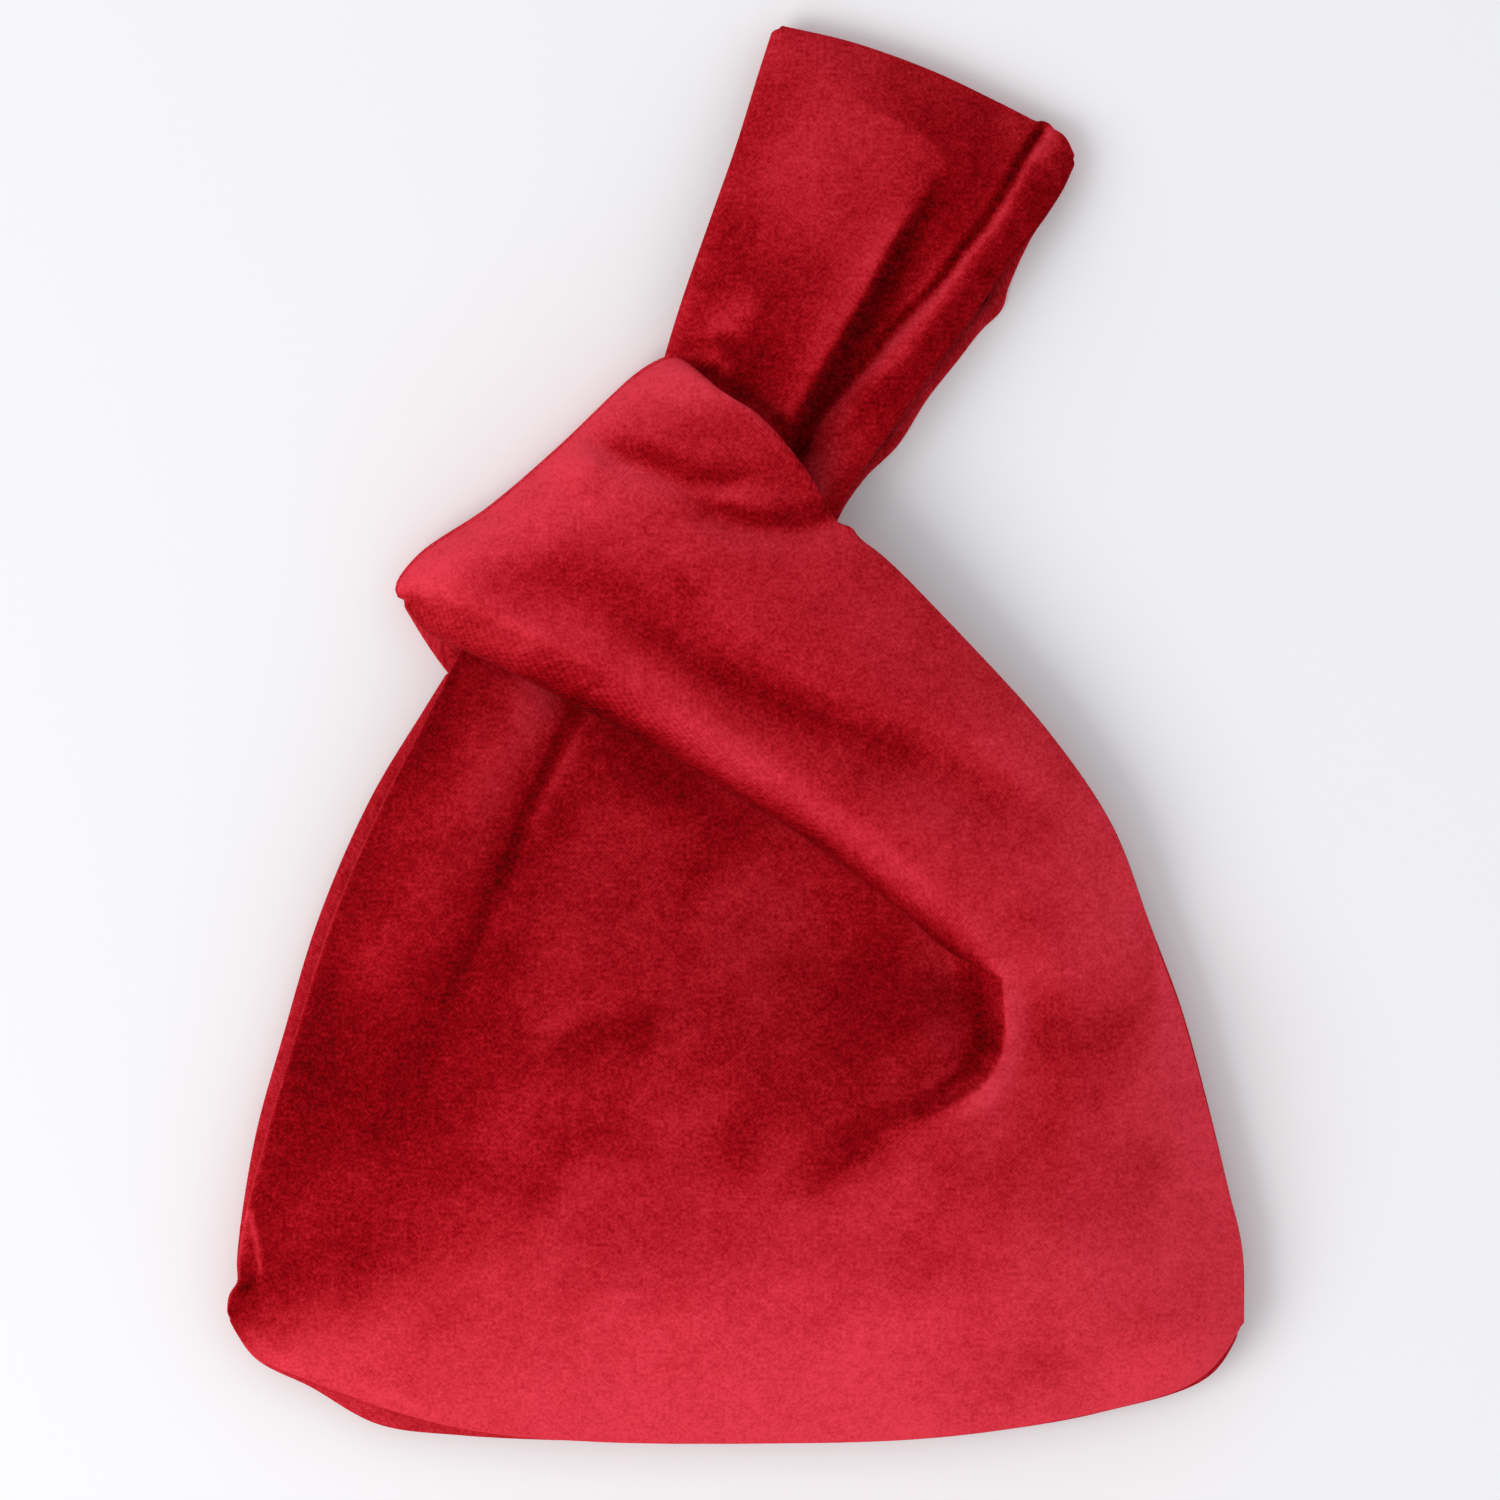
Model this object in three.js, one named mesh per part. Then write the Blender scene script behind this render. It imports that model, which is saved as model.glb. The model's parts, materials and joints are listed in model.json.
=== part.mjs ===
// A velvet knot bag lying on its back with its long handle drawn through its short one.
// Millimetres. X runs to the right and Y to the wrist loop as seen from above, and Z points up.
// The origin is on the surface that the bag lies on, under the middle of its outline.

import * as THREE from 'three';
import { mergeVertices } from 'three/addons/utils/BufferGeometryUtils.js';

// Driving sizes
const bag_width = 208.6;
const bag_height = 290.4;
const pouch_depth = 37;
const belly_crown = 19.5;
const collar_crown = 4.5;
const loop_crown = 3.5;
const pleat_depth = 5;
const hollow_depth = 7.5;
const hollow_reach = 12.5;
const fold_depth = 4.5;

// Cloth and sewing
const velvet_thickness = 1.4;
const lining_thickness = 0.8;
const allowance_thickness = 1.2;
const layer_gap = 0.7;
const joint_gap = 0.35;
const lining_inset = 13;
const knot_lining_inset = 4;
const seam_inset = 3;
const seam_allowance = 6.5;
const corner_inset = 5.5;
const corner_seam_length = 6.5;
const weld_distance = 0.001;

// What follows from them: how far a lining lies from its velvet, what a strap with its lining takes
// up in the knot, and half the step between two velvets that are sewn edge to edge
const lining_step = velvet_thickness / 2 + layer_gap + lining_thickness / 2;
const strap_stack = velvet_thickness + lining_thickness + 2 * layer_gap;
const seam_half_step = (velvet_thickness + joint_gap) / 2;
const table_level = velvet_thickness / 2;
const above_back_strap = table_level + strap_stack;

// Edges of the cloths, each point as shares of bag_width, bag_height and pouch_depth
const front_bottom_shares = [
  [0.001, 0.090, 0.259], [0.026, 0.063, 0.254], [0.091, 0.048, 0.243], [0.162, 0.031, 0.232],
  [0.230, 0.013, 0.224], [0.367, 0.004, 0.222], [0.514, 0.002, 0.222], [0.661, 0.004, 0.222],
  [0.759, 0.011, 0.224], [0.857, 0.024, 0.232], [0.963, 0.049, 0.243], [0.997, 0.085, 0.259],
];
const back_bottom_shares = [
  [0.001, 0.090, 0.259], [0.029, 0.060, 0.254], [0.083, 0.041, 0.222], [0.147, 0.014, 0.205],
  [0.230, 0.006, 0.216], [0.367, 0.003, 0.222], [0.514, 0.002, 0.222], [0.661, 0.004, 0.222],
  [0.759, 0.011, 0.224], [0.857, 0.024, 0.232], [0.963, 0.049, 0.243], [0.997, 0.085, 0.259],
];
const front_left_shares = [
  [0.001, 0.090, 0.259], [0.015, 0.124, 0.284], [0.024, 0.162, 0.297], [0.046, 0.222, 0.311],
  [0.071, 0.285, 0.324], [0.109, 0.370, 0.338], [0.160, 0.454, 0.341], [0.205, 0.516, 0.324],
  [0.236, 0.561, 0.297],
];
const back_left_shares = [
  [0.001, 0.090, 0.259], [0.011, 0.124, 0.268], [0.017, 0.162, 0.259], [0.032, 0.222, 0.243],
  [0.057, 0.285, 0.203], [0.093, 0.370, 0.149], [0.144, 0.454, 0.119], [0.195, 0.516, 0.119],
  [0.218, 0.544, 0.146],
];
const right_side_shares = [
  [0.997, 0.085, 0.259], [0.995, 0.138, 0.276], [0.981, 0.180, 0.292], [0.959, 0.243, 0.297],
  [0.934, 0.306, 0.297], [0.906, 0.359, 0.297],
];
const front_top_shares = [
  [0.236, 0.561, 0.297], [0.305, 0.542, 0.376], [0.361, 0.516, 0.449], [0.457, 0.469, 0.522],
  [0.537, 0.434, 0.565], [0.633, 0.391, 0.622], [0.695, 0.351, 0.692], [0.744, 0.318, 0.762],
  [0.818, 0.330, 0.676], [0.906, 0.359, 0.297],
];
const mouth_roll_shares = [
  [0.186, 0.586, 0.232], [0.220, 0.571, 0.378], [0.269, 0.556, 0.500], [0.361, 0.521, 0.649],
  [0.457, 0.474, 0.719], [0.537, 0.439, 0.757], [0.633, 0.396, 0.784], [0.698, 0.357, 0.795],
  [0.744, 0.324, 0.784],
];
const short_outer_shares = [
  [0.457, 0.758, 0.284], [0.469, 0.752, 0.405], [0.487, 0.743, 0.514], [0.514, 0.734, 0.595],
  [0.563, 0.691, 0.622], [0.593, 0.651, 0.541], [0.643, 0.623, 0.459], [0.731, 0.559, 0.419],
  [0.809, 0.496, 0.392], [0.868, 0.433, 0.351], [0.906, 0.363, 0.297],
];
const short_fold_shares = [
  [0.186, 0.586, 0.232], [0.191, 0.602, 0.232], [0.215, 0.618, 0.232], [0.274, 0.654, 0.232],
  [0.343, 0.696, 0.232], [0.404, 0.737, 0.243], [0.434, 0.753, 0.259], [0.457, 0.758, 0.284],
];
const short_start_shares = [
  [0.744, 0.324, 0.784], [0.818, 0.336, 0.689], [0.906, 0.363, 0.297],
];
const back_top_shares = [
  [0.218, 0.544, 0.146], [0.324, 0.459, 0.141], [0.520, 0.361, 0.141], [0.742, 0.297, 0.043],
  [0.828, 0.324, 0.032], [0.906, 0.359, 0.297],
];
const back_roll_shares = [
  [0.186, 0.586, 0.232], [0.203, 0.569, 0.108], [0.220, 0.551, 0.032], [0.250, 0.524, 0.011],
  [0.328, 0.465, 0.005], [0.416, 0.412, 0.000], [0.524, 0.366, 0.000], [0.622, 0.331, 0.000],
  [0.744, 0.303, 0.000],
];
const back_outer_shares = [
  [0.457, 0.758, 0.284], [0.469, 0.752, 0.119], [0.485, 0.745, 0.038], [0.514, 0.734, 0.011],
  [0.563, 0.691, 0.000], [0.593, 0.651, 0.000], [0.643, 0.623, 0.000], [0.731, 0.559, 0.000],
  [0.809, 0.496, 0.022], [0.868, 0.433, 0.108], [0.906, 0.363, 0.297],
];
const back_start_shares = [
  [0.744, 0.303, 0.000], [0.828, 0.330, 0.043], [0.906, 0.363, 0.297],
];
const front_root_start_shares = [
  [0.244, 0.566, 0.384], [0.309, 0.550, 0.503], [0.365, 0.524, 0.584], [0.461, 0.478, 0.635],
  [0.541, 0.443, 0.670], [0.637, 0.400, 0.708], [0.698, 0.363, 0.735], [0.732, 0.333, 0.735],
];
const front_root_end_shares = [
  [0.293, 0.603, 0.419], [0.387, 0.579, 0.590], [0.495, 0.538, 0.630], [0.612, 0.488, 0.630],
  [0.681, 0.454, 0.554],
];
const front_root_left_shares = [
  [0.244, 0.566, 0.384], [0.264, 0.586, 0.400], [0.293, 0.603, 0.419],
];
const front_root_right_shares = [
  [0.732, 0.333, 0.735], [0.712, 0.391, 0.690], [0.681, 0.454, 0.554],
];
const back_root_start_shares = [
  [0.232, 0.554, 0.027], [0.333, 0.469, 0.022], [0.529, 0.372, 0.022], [0.735, 0.313, 0.022],
];
const back_root_end_shares = [
  [0.293, 0.597, 0.027], [0.387, 0.566, 0.027], [0.495, 0.524, 0.027], [0.612, 0.468, 0.027],
  [0.681, 0.433, 0.027],
];
const back_root_left_shares = [
  [0.232, 0.554, 0.027], [0.260, 0.575, 0.027], [0.293, 0.597, 0.027],
];
const back_root_right_shares = [
  [0.735, 0.313, 0.022], [0.712, 0.377, 0.027], [0.681, 0.433, 0.027],
];
const front_neck_start_shares = [
  [0.348, 0.623, 0.459], [0.416, 0.600, 0.581], [0.504, 0.566, 0.608], [0.583, 0.531, 0.541],
];
const front_neck_left_shares = [
  [0.348, 0.623, 0.459], [0.406, 0.661, 0.473], [0.459, 0.707, 0.459], [0.483, 0.741, 0.449],
  [0.469, 0.773, 0.432],
];
const front_neck_right_shares = [
  [0.583, 0.531, 0.541], [0.581, 0.587, 0.514], [0.583, 0.630, 0.486], [0.608, 0.667, 0.454],
];
const front_neck_end_shares = [
  [0.469, 0.773, 0.432], [0.502, 0.749, 0.519], [0.544, 0.717, 0.557], [0.581, 0.689, 0.524],
  [0.608, 0.667, 0.454],
];
const back_neck_start_shares = [
  [0.348, 0.616, 0.027], [0.416, 0.590, 0.027], [0.504, 0.555, 0.027], [0.583, 0.517, 0.027],
];
const back_neck_left_shares = [
  [0.348, 0.616, 0.027], [0.406, 0.658, 0.027], [0.459, 0.707, 0.027], [0.483, 0.741, 0.032],
  [0.469, 0.773, 0.043],
];
const back_neck_right_shares = [
  [0.583, 0.517, 0.027], [0.581, 0.580, 0.027], [0.583, 0.630, 0.027], [0.608, 0.667, 0.038],
];
const back_neck_end_shares = [
  [0.469, 0.773, 0.043], [0.502, 0.749, 0.022], [0.544, 0.717, 0.016], [0.581, 0.689, 0.022],
  [0.608, 0.667, 0.038],
];
const loop_front_start_shares = [
  [0.450, 0.803, 0.341], [0.487, 0.776, 0.416], [0.530, 0.739, 0.449], [0.573, 0.702, 0.422],
  [0.610, 0.670, 0.351],
];
const loop_front_left_shares = [
  [0.450, 0.803, 0.341], [0.473, 0.855, 0.314], [0.494, 0.897, 0.303], [0.515, 0.939, 0.286],
  [0.532, 0.975, 0.243], [0.541, 0.999, 0.146],
];
const loop_front_right_shares = [
  [0.610, 0.670, 0.351], [0.656, 0.707, 0.335], [0.698, 0.749, 0.324], [0.745, 0.791, 0.319],
  [0.780, 0.833, 0.308], [0.808, 0.876, 0.281], [0.830, 0.907, 0.146],
];
const loop_top_shares = [
  [0.541, 0.999, 0.146], [0.641, 0.981, 0.146], [0.720, 0.960, 0.146], [0.779, 0.939, 0.146],
  [0.806, 0.926, 0.146], [0.830, 0.907, 0.146],
];
const loop_back_start_shares = [
  [0.450, 0.803, 0.146], [0.487, 0.776, 0.130], [0.530, 0.739, 0.124], [0.573, 0.702, 0.130],
  [0.610, 0.670, 0.141],
];
const loop_back_left_shares = [
  [0.450, 0.803, 0.146], [0.465, 0.837, 0.043], [0.473, 0.855, 0.016], [0.494, 0.897, 0.000],
  [0.515, 0.939, 0.000], [0.532, 0.975, 0.038], [0.541, 0.999, 0.146],
];
const loop_back_right_shares = [
  [0.610, 0.670, 0.141], [0.642, 0.696, 0.043], [0.656, 0.707, 0.022], [0.698, 0.749, 0.000],
  [0.745, 0.791, 0.000], [0.780, 0.833, 0.000], [0.808, 0.876, 0.038], [0.830, 0.907, 0.146],
];

// Where the side seams end and the open arm edges begin, as shares of the side
const left_seam_end_share = 0.5;
const right_seam_end_share = 0.9;

// How far in from each edge a cloth rises to its full crown, as shares of its own length
const belly_rise_shares = {
  left: 0.4, right: 0.36, start: 0.36, end: 0.6, swells_to_end: true,
};
const back_rise_shares = { left: 0.16, right: 0.16, start: 0.16, end: 0.06 };
const collar_rise_shares = { left: 0.13, right: 0.55, start: 0.5, end: 0.5 };
const back_strap_rise_shares = { left: 0.12, right: 0.3, start: 0, end: 0 };
const loop_rise_shares = { left: 0.5, right: 0.5, start: 0.4, end: 0.2 };
// The pleat that the knot gathers into the wrist loop, across the loop
const pleat_place_share = 0.62;
const pleat_width_share = 0.1;
// The soft fold along the short handle, above its roll
const fold_place_share = 0.22;
const fold_width_share = 0.13;
// The bottom of the hollow under the roll, as shares of bag_width and bag_height
const hollow_line_shares = [[0.553, 0.391], [0.632, 0.349], [0.695, 0.320], [0.710, 0.303]];
const slope_step_share = 0.002;
const half_share = 0.5;
const gather_share = 0.6;

const velvet = new THREE.MeshStandardMaterial({ color: 0xb01c28, roughness: 0.85, metalness: 0 });
const lining = new THREE.MeshStandardMaterial({ color: 0x7d1019, roughness: 0.7, metalness: 0 });
const stitched = new THREE.MeshStandardMaterial({ color: 0x93141f, roughness: 0.9, metalness: 0 });

// A smooth edge through a table of shares, raised or lowered as a whole
function edge(shares, lift) {
  const points = shares.map(([x, y, z]) => new THREE.Vector3(
    (x - half_share) * bag_width,
    (y - half_share) * bag_height,
    z * pouch_depth + lift,
  ));
  return new THREE.CatmullRomCurve3(points, false, 'centripetal');
}

// 0 at a cloth's edge, 1 from the share rise inwards
function rise(distance, share) {
  const way = share > 0 ? Math.min(distance / share, 1) : 1;
  return way * (2 - way);
}

// The same, but starting level with the edge
function swell(distance, share) {
  return THREE.MathUtils.smoothstep(distance, 0, share);
}

// Nearly the least of the four rises, so that a corner stays full instead of pinching
function fullness(u, v, shares) {
  const rises = [
    rise(u, shares.left), rise(1 - u, shares.right),
    rise(v, shares.start), shares.swells_to_end ? swell(1 - v, shares.end) : rise(1 - v, shares.end),
  ];
  if (Math.min(...rises) <= 0) {
    return 0;
  }
  const shortfall = rises.reduce((sum, value) => sum + value ** -2 - 1, 0);
  return 1 / Math.sqrt(1 + shortfall);
}

// The sheet stretched between four edges: start and end run left to right, left and right run
// from start to end
function stretched({ start, end, left, right }, u, v) {
  const across = start.getPointAt(u).lerp(end.getPointAt(u), v);
  const along = left.getPointAt(v).lerp(right.getPointAt(v), u);
  const low = start.getPointAt(0).lerp(start.getPointAt(1), u);
  const high = end.getPointAt(0).lerp(end.getPointAt(1), u);
  return across.add(along).sub(low.lerp(high, v));
}

// Cloth with air under it, which its crown lifts
function crowned(edges, crown, shares) {
  return (u, v) => {
    const point = stretched(edges, u, v);
    point.z += crown * fullness(u, v, shares);
    return point;
  };
}

// The pouch's front with the hollow that the short handle's roll pulls into it
function hollowed(surface) {
  const bottom = hollow_line_shares.map(([x, y]) => new THREE.Vector3(
    (x - half_share) * bag_width,
    (y - half_share) * bag_height,
    0,
  ));
  return (u, v) => {
    const point = surface(u, v);
    const below = point.clone().setZ(0);
    const distances = bottom.slice(1).map((end, i) => new THREE.Line3(bottom[i], end)
      .closestPointToPoint(below, true, new THREE.Vector3()).distanceTo(below));
    point.z -= hollow_depth * Math.exp(-((Math.min(...distances) / hollow_reach) ** 2));
    return point;
  };
}

// The short handle with its soft fold, deepest halfway along
function folded(surface) {
  return (u, v) => {
    const point = surface(u, v);
    const off_line = (v - fold_place_share) / fold_width_share;
    point.z -= fold_depth * Math.sin(Math.PI * u) * Math.exp(-(off_line ** 2));
    return point;
  };
}

// How deep the loop's pleat is, from its full depth at the knot to nothing at the top fold
function pleat(u, v) {
  const off_line = (u - pleat_place_share) / pleat_width_share;
  return pleat_depth * (1 - v) * Math.exp(-(off_line ** 2));
}

// Cloth that lies on the table and curls up to its edges
function laid(edges, shares) {
  return (u, v) => {
    const point = stretched(edges, u, v);
    point.z = Math.max(point.z * (1 - fullness(u, v, shares)), table_level);
    return point;
  };
}

// Halfway between two cloths, where their turned-in edges lie
function between(upper, lower) {
  return (u, v) => upper(u, v).lerp(lower(u, v), half_share);
}

function normalAt(surface, u, v) {
  const across = surface(Math.min(u + slope_step_share, 1), v)
    .sub(surface(Math.max(u - slope_step_share, 0), v));
  const along = surface(u, Math.min(v + slope_step_share, 1))
    .sub(surface(u, Math.max(v - slope_step_share, 0)));
  return across.cross(along).normalize();
}

// Grid lines drawn towards both ends of a span, where cloth bends most
function gathered(t) {
  return THREE.MathUtils.lerp(t, (1 - Math.cos(Math.PI * t)) / 2, gather_share);
}

// A closed slab of cloth on a surface: a unit box carried onto the part of it that spans u and v
function sheet(name, material, surface, { thickness, step = 0, u, v, columns, rows }) {
  const slab = new THREE.BoxGeometry(1, 1, 1, columns, rows, 1);
  const place = slab.attributes.position;
  for (let i = 0; i < place.count; i += 1) {
    const across = THREE.MathUtils.lerp(u[0], u[1], gathered(place.getX(i) + half_share));
    const along = THREE.MathUtils.lerp(v[0], v[1], gathered(place.getY(i) + half_share));
    const point = surface(across, along);
    point.addScaledVector(normalAt(surface, across, along), place.getZ(i) * thickness + step);
    place.setXYZ(i, point.x, point.y, point.z);
  }
  slab.deleteAttribute('normal');
  slab.deleteAttribute('uv');
  const mesh = new THREE.Mesh(mergeVertices(slab, weld_distance), material);
  mesh.geometry.computeVertexNormals();
  mesh.name = name;
  return mesh;
}

const whole = [0, 1];

function velvetSheet(name, surface, columns, rows) {
  return sheet(name, velvet, surface, {
    thickness: velvet_thickness, u: whole, v: whole, columns, rows,
  });
}

// The shares of a cloth's length and breadth that a band from near to far of its edges takes
function inset(length, near, far = near) {
  return [near / length, 1 - far / length];
}

// The lining on one side of a velvet, drawn in from its edges: side is -1 below it and 1 above it
function liningSheet(name, surface, side, edges, columns, rows, drawn_in = lining_inset) {
  return sheet(name, lining, surface, {
    thickness: lining_thickness,
    step: side * lining_step,
    u: inset(edges.start.getLength(), drawn_in),
    v: inset(edges.left.getLength(), drawn_in),
    columns,
    rows,
  });
}

function seam(name, surface, u, v, columns, rows) {
  return sheet(name, stitched, surface, { thickness: allowance_thickness, u, v, columns, rows });
}

// Pouch: front and back cut alike and sewn down both sides and along the bottom
function pouch() {
  const front_edges = {
    start: edge(front_bottom_shares, seam_half_step),
    end: edge(front_top_shares, seam_half_step),
    left: edge(front_left_shares, seam_half_step),
    right: edge(right_side_shares, seam_half_step),
  };
  const back_edges = {
    start: edge(back_bottom_shares, -seam_half_step),
    end: edge(back_top_shares, -seam_half_step),
    left: edge(back_left_shares, -seam_half_step),
    right: edge(right_side_shares, -seam_half_step),
  };
  const front = hollowed(crowned(front_edges, belly_crown, belly_rise_shares));
  const back = laid(back_edges, back_rise_shares);
  const inside = between(front, back);
  const width = front_edges.start.getLength();
  const height = front_edges.right.getLength();
  const corner_end = corner_inset + corner_seam_length;
  const near_left = [seam_inset / width, (seam_inset + seam_allowance) / width];
  const near_right = [1 - near_left[1], 1 - near_left[0]];
  const near_bottom = [seam_inset / height, (seam_inset + seam_allowance) / height];
  const left_corner = [corner_inset / width, corner_end / width];
  const right_corner = [1 - left_corner[1], 1 - left_corner[0]];
  const corner_height = [corner_inset / height, corner_end / height];
  const clear_of_corner = (corner_end + layer_gap) / height;
  const between_corners = inset(width, corner_end + layer_gap);
  return [
    velvetSheet('outer_front_panel', front, 22, 18),
    velvetSheet('outer_back_panel', back, 18, 12),
    liningSheet('lining_front_panel', front, -1, front_edges, 18, 14),
    liningSheet('lining_back_panel', back, 1, back_edges, 18, 12),
    seam('left_side_seam', inside, near_left, [clear_of_corner, left_seam_end_share], 2, 12),
    seam('right_side_seam', inside, near_right, [clear_of_corner, right_seam_end_share], 2, 10),
    seam('bottom_seam', inside, between_corners, near_bottom, 16, 2),
    seam('left_corner_seam', inside, left_corner, corner_height, 2, 2),
    seam('right_corner_seam', inside, right_corner, corner_height, 2, 2),
  ];
}

// Short handle: from the right side over to the fold at the upper left and back under the knot
function shortHandle() {
  const front_edges = {
    start: edge(mouth_roll_shares, seam_half_step),
    end: edge(short_outer_shares, seam_half_step),
    left: edge(short_fold_shares, seam_half_step),
    right: edge(short_start_shares, seam_half_step),
  };
  const back_edges = {
    start: edge(back_roll_shares, -seam_half_step),
    end: edge(back_outer_shares, -seam_half_step),
    left: edge(short_fold_shares, -seam_half_step),
    right: edge(back_start_shares, -seam_half_step),
  };
  const front = folded(crowned(front_edges, collar_crown, collar_rise_shares));
  const back = laid(back_edges, back_strap_rise_shares);
  const length = front_edges.start.getLength();
  const near_fold = [seam_inset / length, (seam_inset + seam_allowance) / length];
  return [
    velvetSheet('short_handle_front_strap', front, 20, 12),
    velvetSheet('short_handle_back_strap', back, 16, 8),
    liningSheet('short_handle_front_lining', front, -1, front_edges, 14, 8),
    liningSheet('short_handle_back_lining', back, 1, back_edges, 10, 6),
    seam('short_handle_join_seam', between(front, back), near_fold,
      inset(front_edges.left.getLength(), lining_inset), 2, 10),
  ];
}

// One stretch of the long handle inside the knot: both limbs, each a velvet with its lining
function knotStretch(stretch, front_edges, back_edges) {
  const front = (u, v) => stretched(front_edges, u, v);
  const back = (u, v) => stretched(back_edges, u, v);
  return [
    velvetSheet(`long_handle_front_${stretch}`, front, 10, 8),
    velvetSheet(`long_handle_back_${stretch}`, back, 10, 8),
    liningSheet(`long_handle_front_${stretch}_lining`, front, -1, front_edges, 8, 6,
      knot_lining_inset),
    liningSheet(`long_handle_back_${stretch}_lining`, back, 1, back_edges, 8, 6,
      knot_lining_inset),
  ];
}

// Long handle: its roots grow out of the pouch's left half and run into the knot
function longHandleRoots() {
  const front_edges = {
    start: edge(front_root_start_shares, -strap_stack),
    end: edge(front_root_end_shares, -strap_stack),
    left: edge(front_root_left_shares, -strap_stack),
    right: edge(front_root_right_shares, -strap_stack),
  };
  const back_edges = {
    start: edge(back_root_start_shares, above_back_strap),
    end: edge(back_root_end_shares, above_back_strap),
    left: edge(back_root_left_shares, above_back_strap),
    right: edge(back_root_right_shares, above_back_strap),
  };
  return knotStretch('root', front_edges, back_edges);
}

// The stretch that the short handle grips, which slides when the knot is drawn up or eased
function knotNeck() {
  const front_edges = {
    start: edge(front_neck_start_shares, -strap_stack),
    end: edge(front_neck_end_shares, -strap_stack),
    left: edge(front_neck_left_shares, -strap_stack),
    right: edge(front_neck_right_shares, -strap_stack),
  };
  const back_edges = {
    start: edge(back_neck_start_shares, above_back_strap),
    end: edge(back_neck_end_shares, above_back_strap),
    left: edge(back_neck_left_shares, above_back_strap),
    right: edge(back_neck_right_shares, above_back_strap),
  };
  return knotStretch('neck', front_edges, back_edges);
}

// Wrist loop: the end of the long handle, whose two limbs are joined at the top fold
function wristLoop() {
  const front_edges = {
    start: edge(loop_front_start_shares, seam_half_step),
    end: edge(loop_top_shares, seam_half_step),
    left: edge(loop_front_left_shares, seam_half_step),
    right: edge(loop_front_right_shares, seam_half_step),
  };
  const back_edges = {
    start: edge(loop_back_start_shares, -seam_half_step),
    end: edge(loop_top_shares, -seam_half_step),
    left: edge(loop_back_left_shares, -seam_half_step),
    right: edge(loop_back_right_shares, -seam_half_step),
  };
  const full = crowned(front_edges, loop_crown, loop_rise_shares);
  const front = (u, v) => {
    const point = full(u, v);
    point.z -= pleat(u, v);
    return point;
  };
  const back = crowned(back_edges, 0, loop_rise_shares);
  const resting = (u, v) => {
    const point = back(u, v);
    point.z = Math.max(point.z, table_level);
    return point;
  };
  const length = front_edges.left.getLength();
  const near_top = [1 - (seam_inset + seam_allowance) / length, 1 - seam_inset / length];
  return [
    velvetSheet('wrist_loop_front_strap', front, 16, 12),
    velvetSheet('wrist_loop_back_strap', resting, 10, 12),
    liningSheet('wrist_loop_front_lining', front, -1, front_edges, 14, 8),
    liningSheet('wrist_loop_back_lining', resting, 1, back_edges, 8, 8),
    seam('wrist_loop_join_seam', between(front, resting),
      inset(front_edges.end.getLength(), lining_inset), near_top, 10, 2),
  ];
}

const knot_bag = new THREE.Group();
knot_bag.add(...pouch(), ...shortHandle(), ...longHandleRoots(), ...knotNeck(), ...wristLoop());

export default knot_bag;
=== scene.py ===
import json
import math

import bmesh
import bpy
import numpy as np
from mathutils import Matrix, Vector, noise


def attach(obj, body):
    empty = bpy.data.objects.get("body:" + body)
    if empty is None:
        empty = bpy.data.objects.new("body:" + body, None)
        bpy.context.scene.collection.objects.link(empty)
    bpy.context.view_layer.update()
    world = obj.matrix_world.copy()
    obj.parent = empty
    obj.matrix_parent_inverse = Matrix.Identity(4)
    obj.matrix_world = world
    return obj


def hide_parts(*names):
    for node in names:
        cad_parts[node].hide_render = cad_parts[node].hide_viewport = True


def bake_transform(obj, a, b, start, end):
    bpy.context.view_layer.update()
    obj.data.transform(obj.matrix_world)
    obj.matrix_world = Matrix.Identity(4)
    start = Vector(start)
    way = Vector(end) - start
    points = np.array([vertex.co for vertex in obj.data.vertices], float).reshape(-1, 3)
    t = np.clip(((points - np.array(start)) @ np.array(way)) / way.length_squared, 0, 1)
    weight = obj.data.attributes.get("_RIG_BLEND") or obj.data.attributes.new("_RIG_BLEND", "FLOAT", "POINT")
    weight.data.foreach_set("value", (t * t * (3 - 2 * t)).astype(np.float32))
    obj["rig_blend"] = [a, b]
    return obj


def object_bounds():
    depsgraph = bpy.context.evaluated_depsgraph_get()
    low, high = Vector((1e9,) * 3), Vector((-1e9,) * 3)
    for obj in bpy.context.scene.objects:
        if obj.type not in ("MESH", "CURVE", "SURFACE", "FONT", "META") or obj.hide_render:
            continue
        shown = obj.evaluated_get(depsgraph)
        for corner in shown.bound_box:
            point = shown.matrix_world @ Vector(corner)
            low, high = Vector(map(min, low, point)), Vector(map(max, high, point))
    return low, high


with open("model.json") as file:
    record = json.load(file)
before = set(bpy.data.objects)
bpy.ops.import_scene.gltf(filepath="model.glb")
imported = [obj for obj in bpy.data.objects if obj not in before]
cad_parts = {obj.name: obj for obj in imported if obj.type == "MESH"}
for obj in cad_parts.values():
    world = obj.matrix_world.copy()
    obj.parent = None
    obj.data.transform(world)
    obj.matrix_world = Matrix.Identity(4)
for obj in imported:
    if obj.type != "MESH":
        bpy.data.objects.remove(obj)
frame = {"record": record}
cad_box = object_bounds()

# The table: a plain pale sheet under a camera that looks straight down, with a soft window on the left.
# The bag's outline in the photograph and its box in the frame give the scale of the picture.
PICTURE = 1500
BAG_LEFT, BAG_RIGHT, BAG_TOP, BAG_BOTTOM = 225.5, 1246.0, 23.0, 1446.0
low, high = cad_box
metres_across = (high.x - low.x) / (BAG_RIGHT - BAG_LEFT)
metres_down = (high.y - low.y) / (BAG_BOTTOM - BAG_TOP)
MM = 0.001


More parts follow.
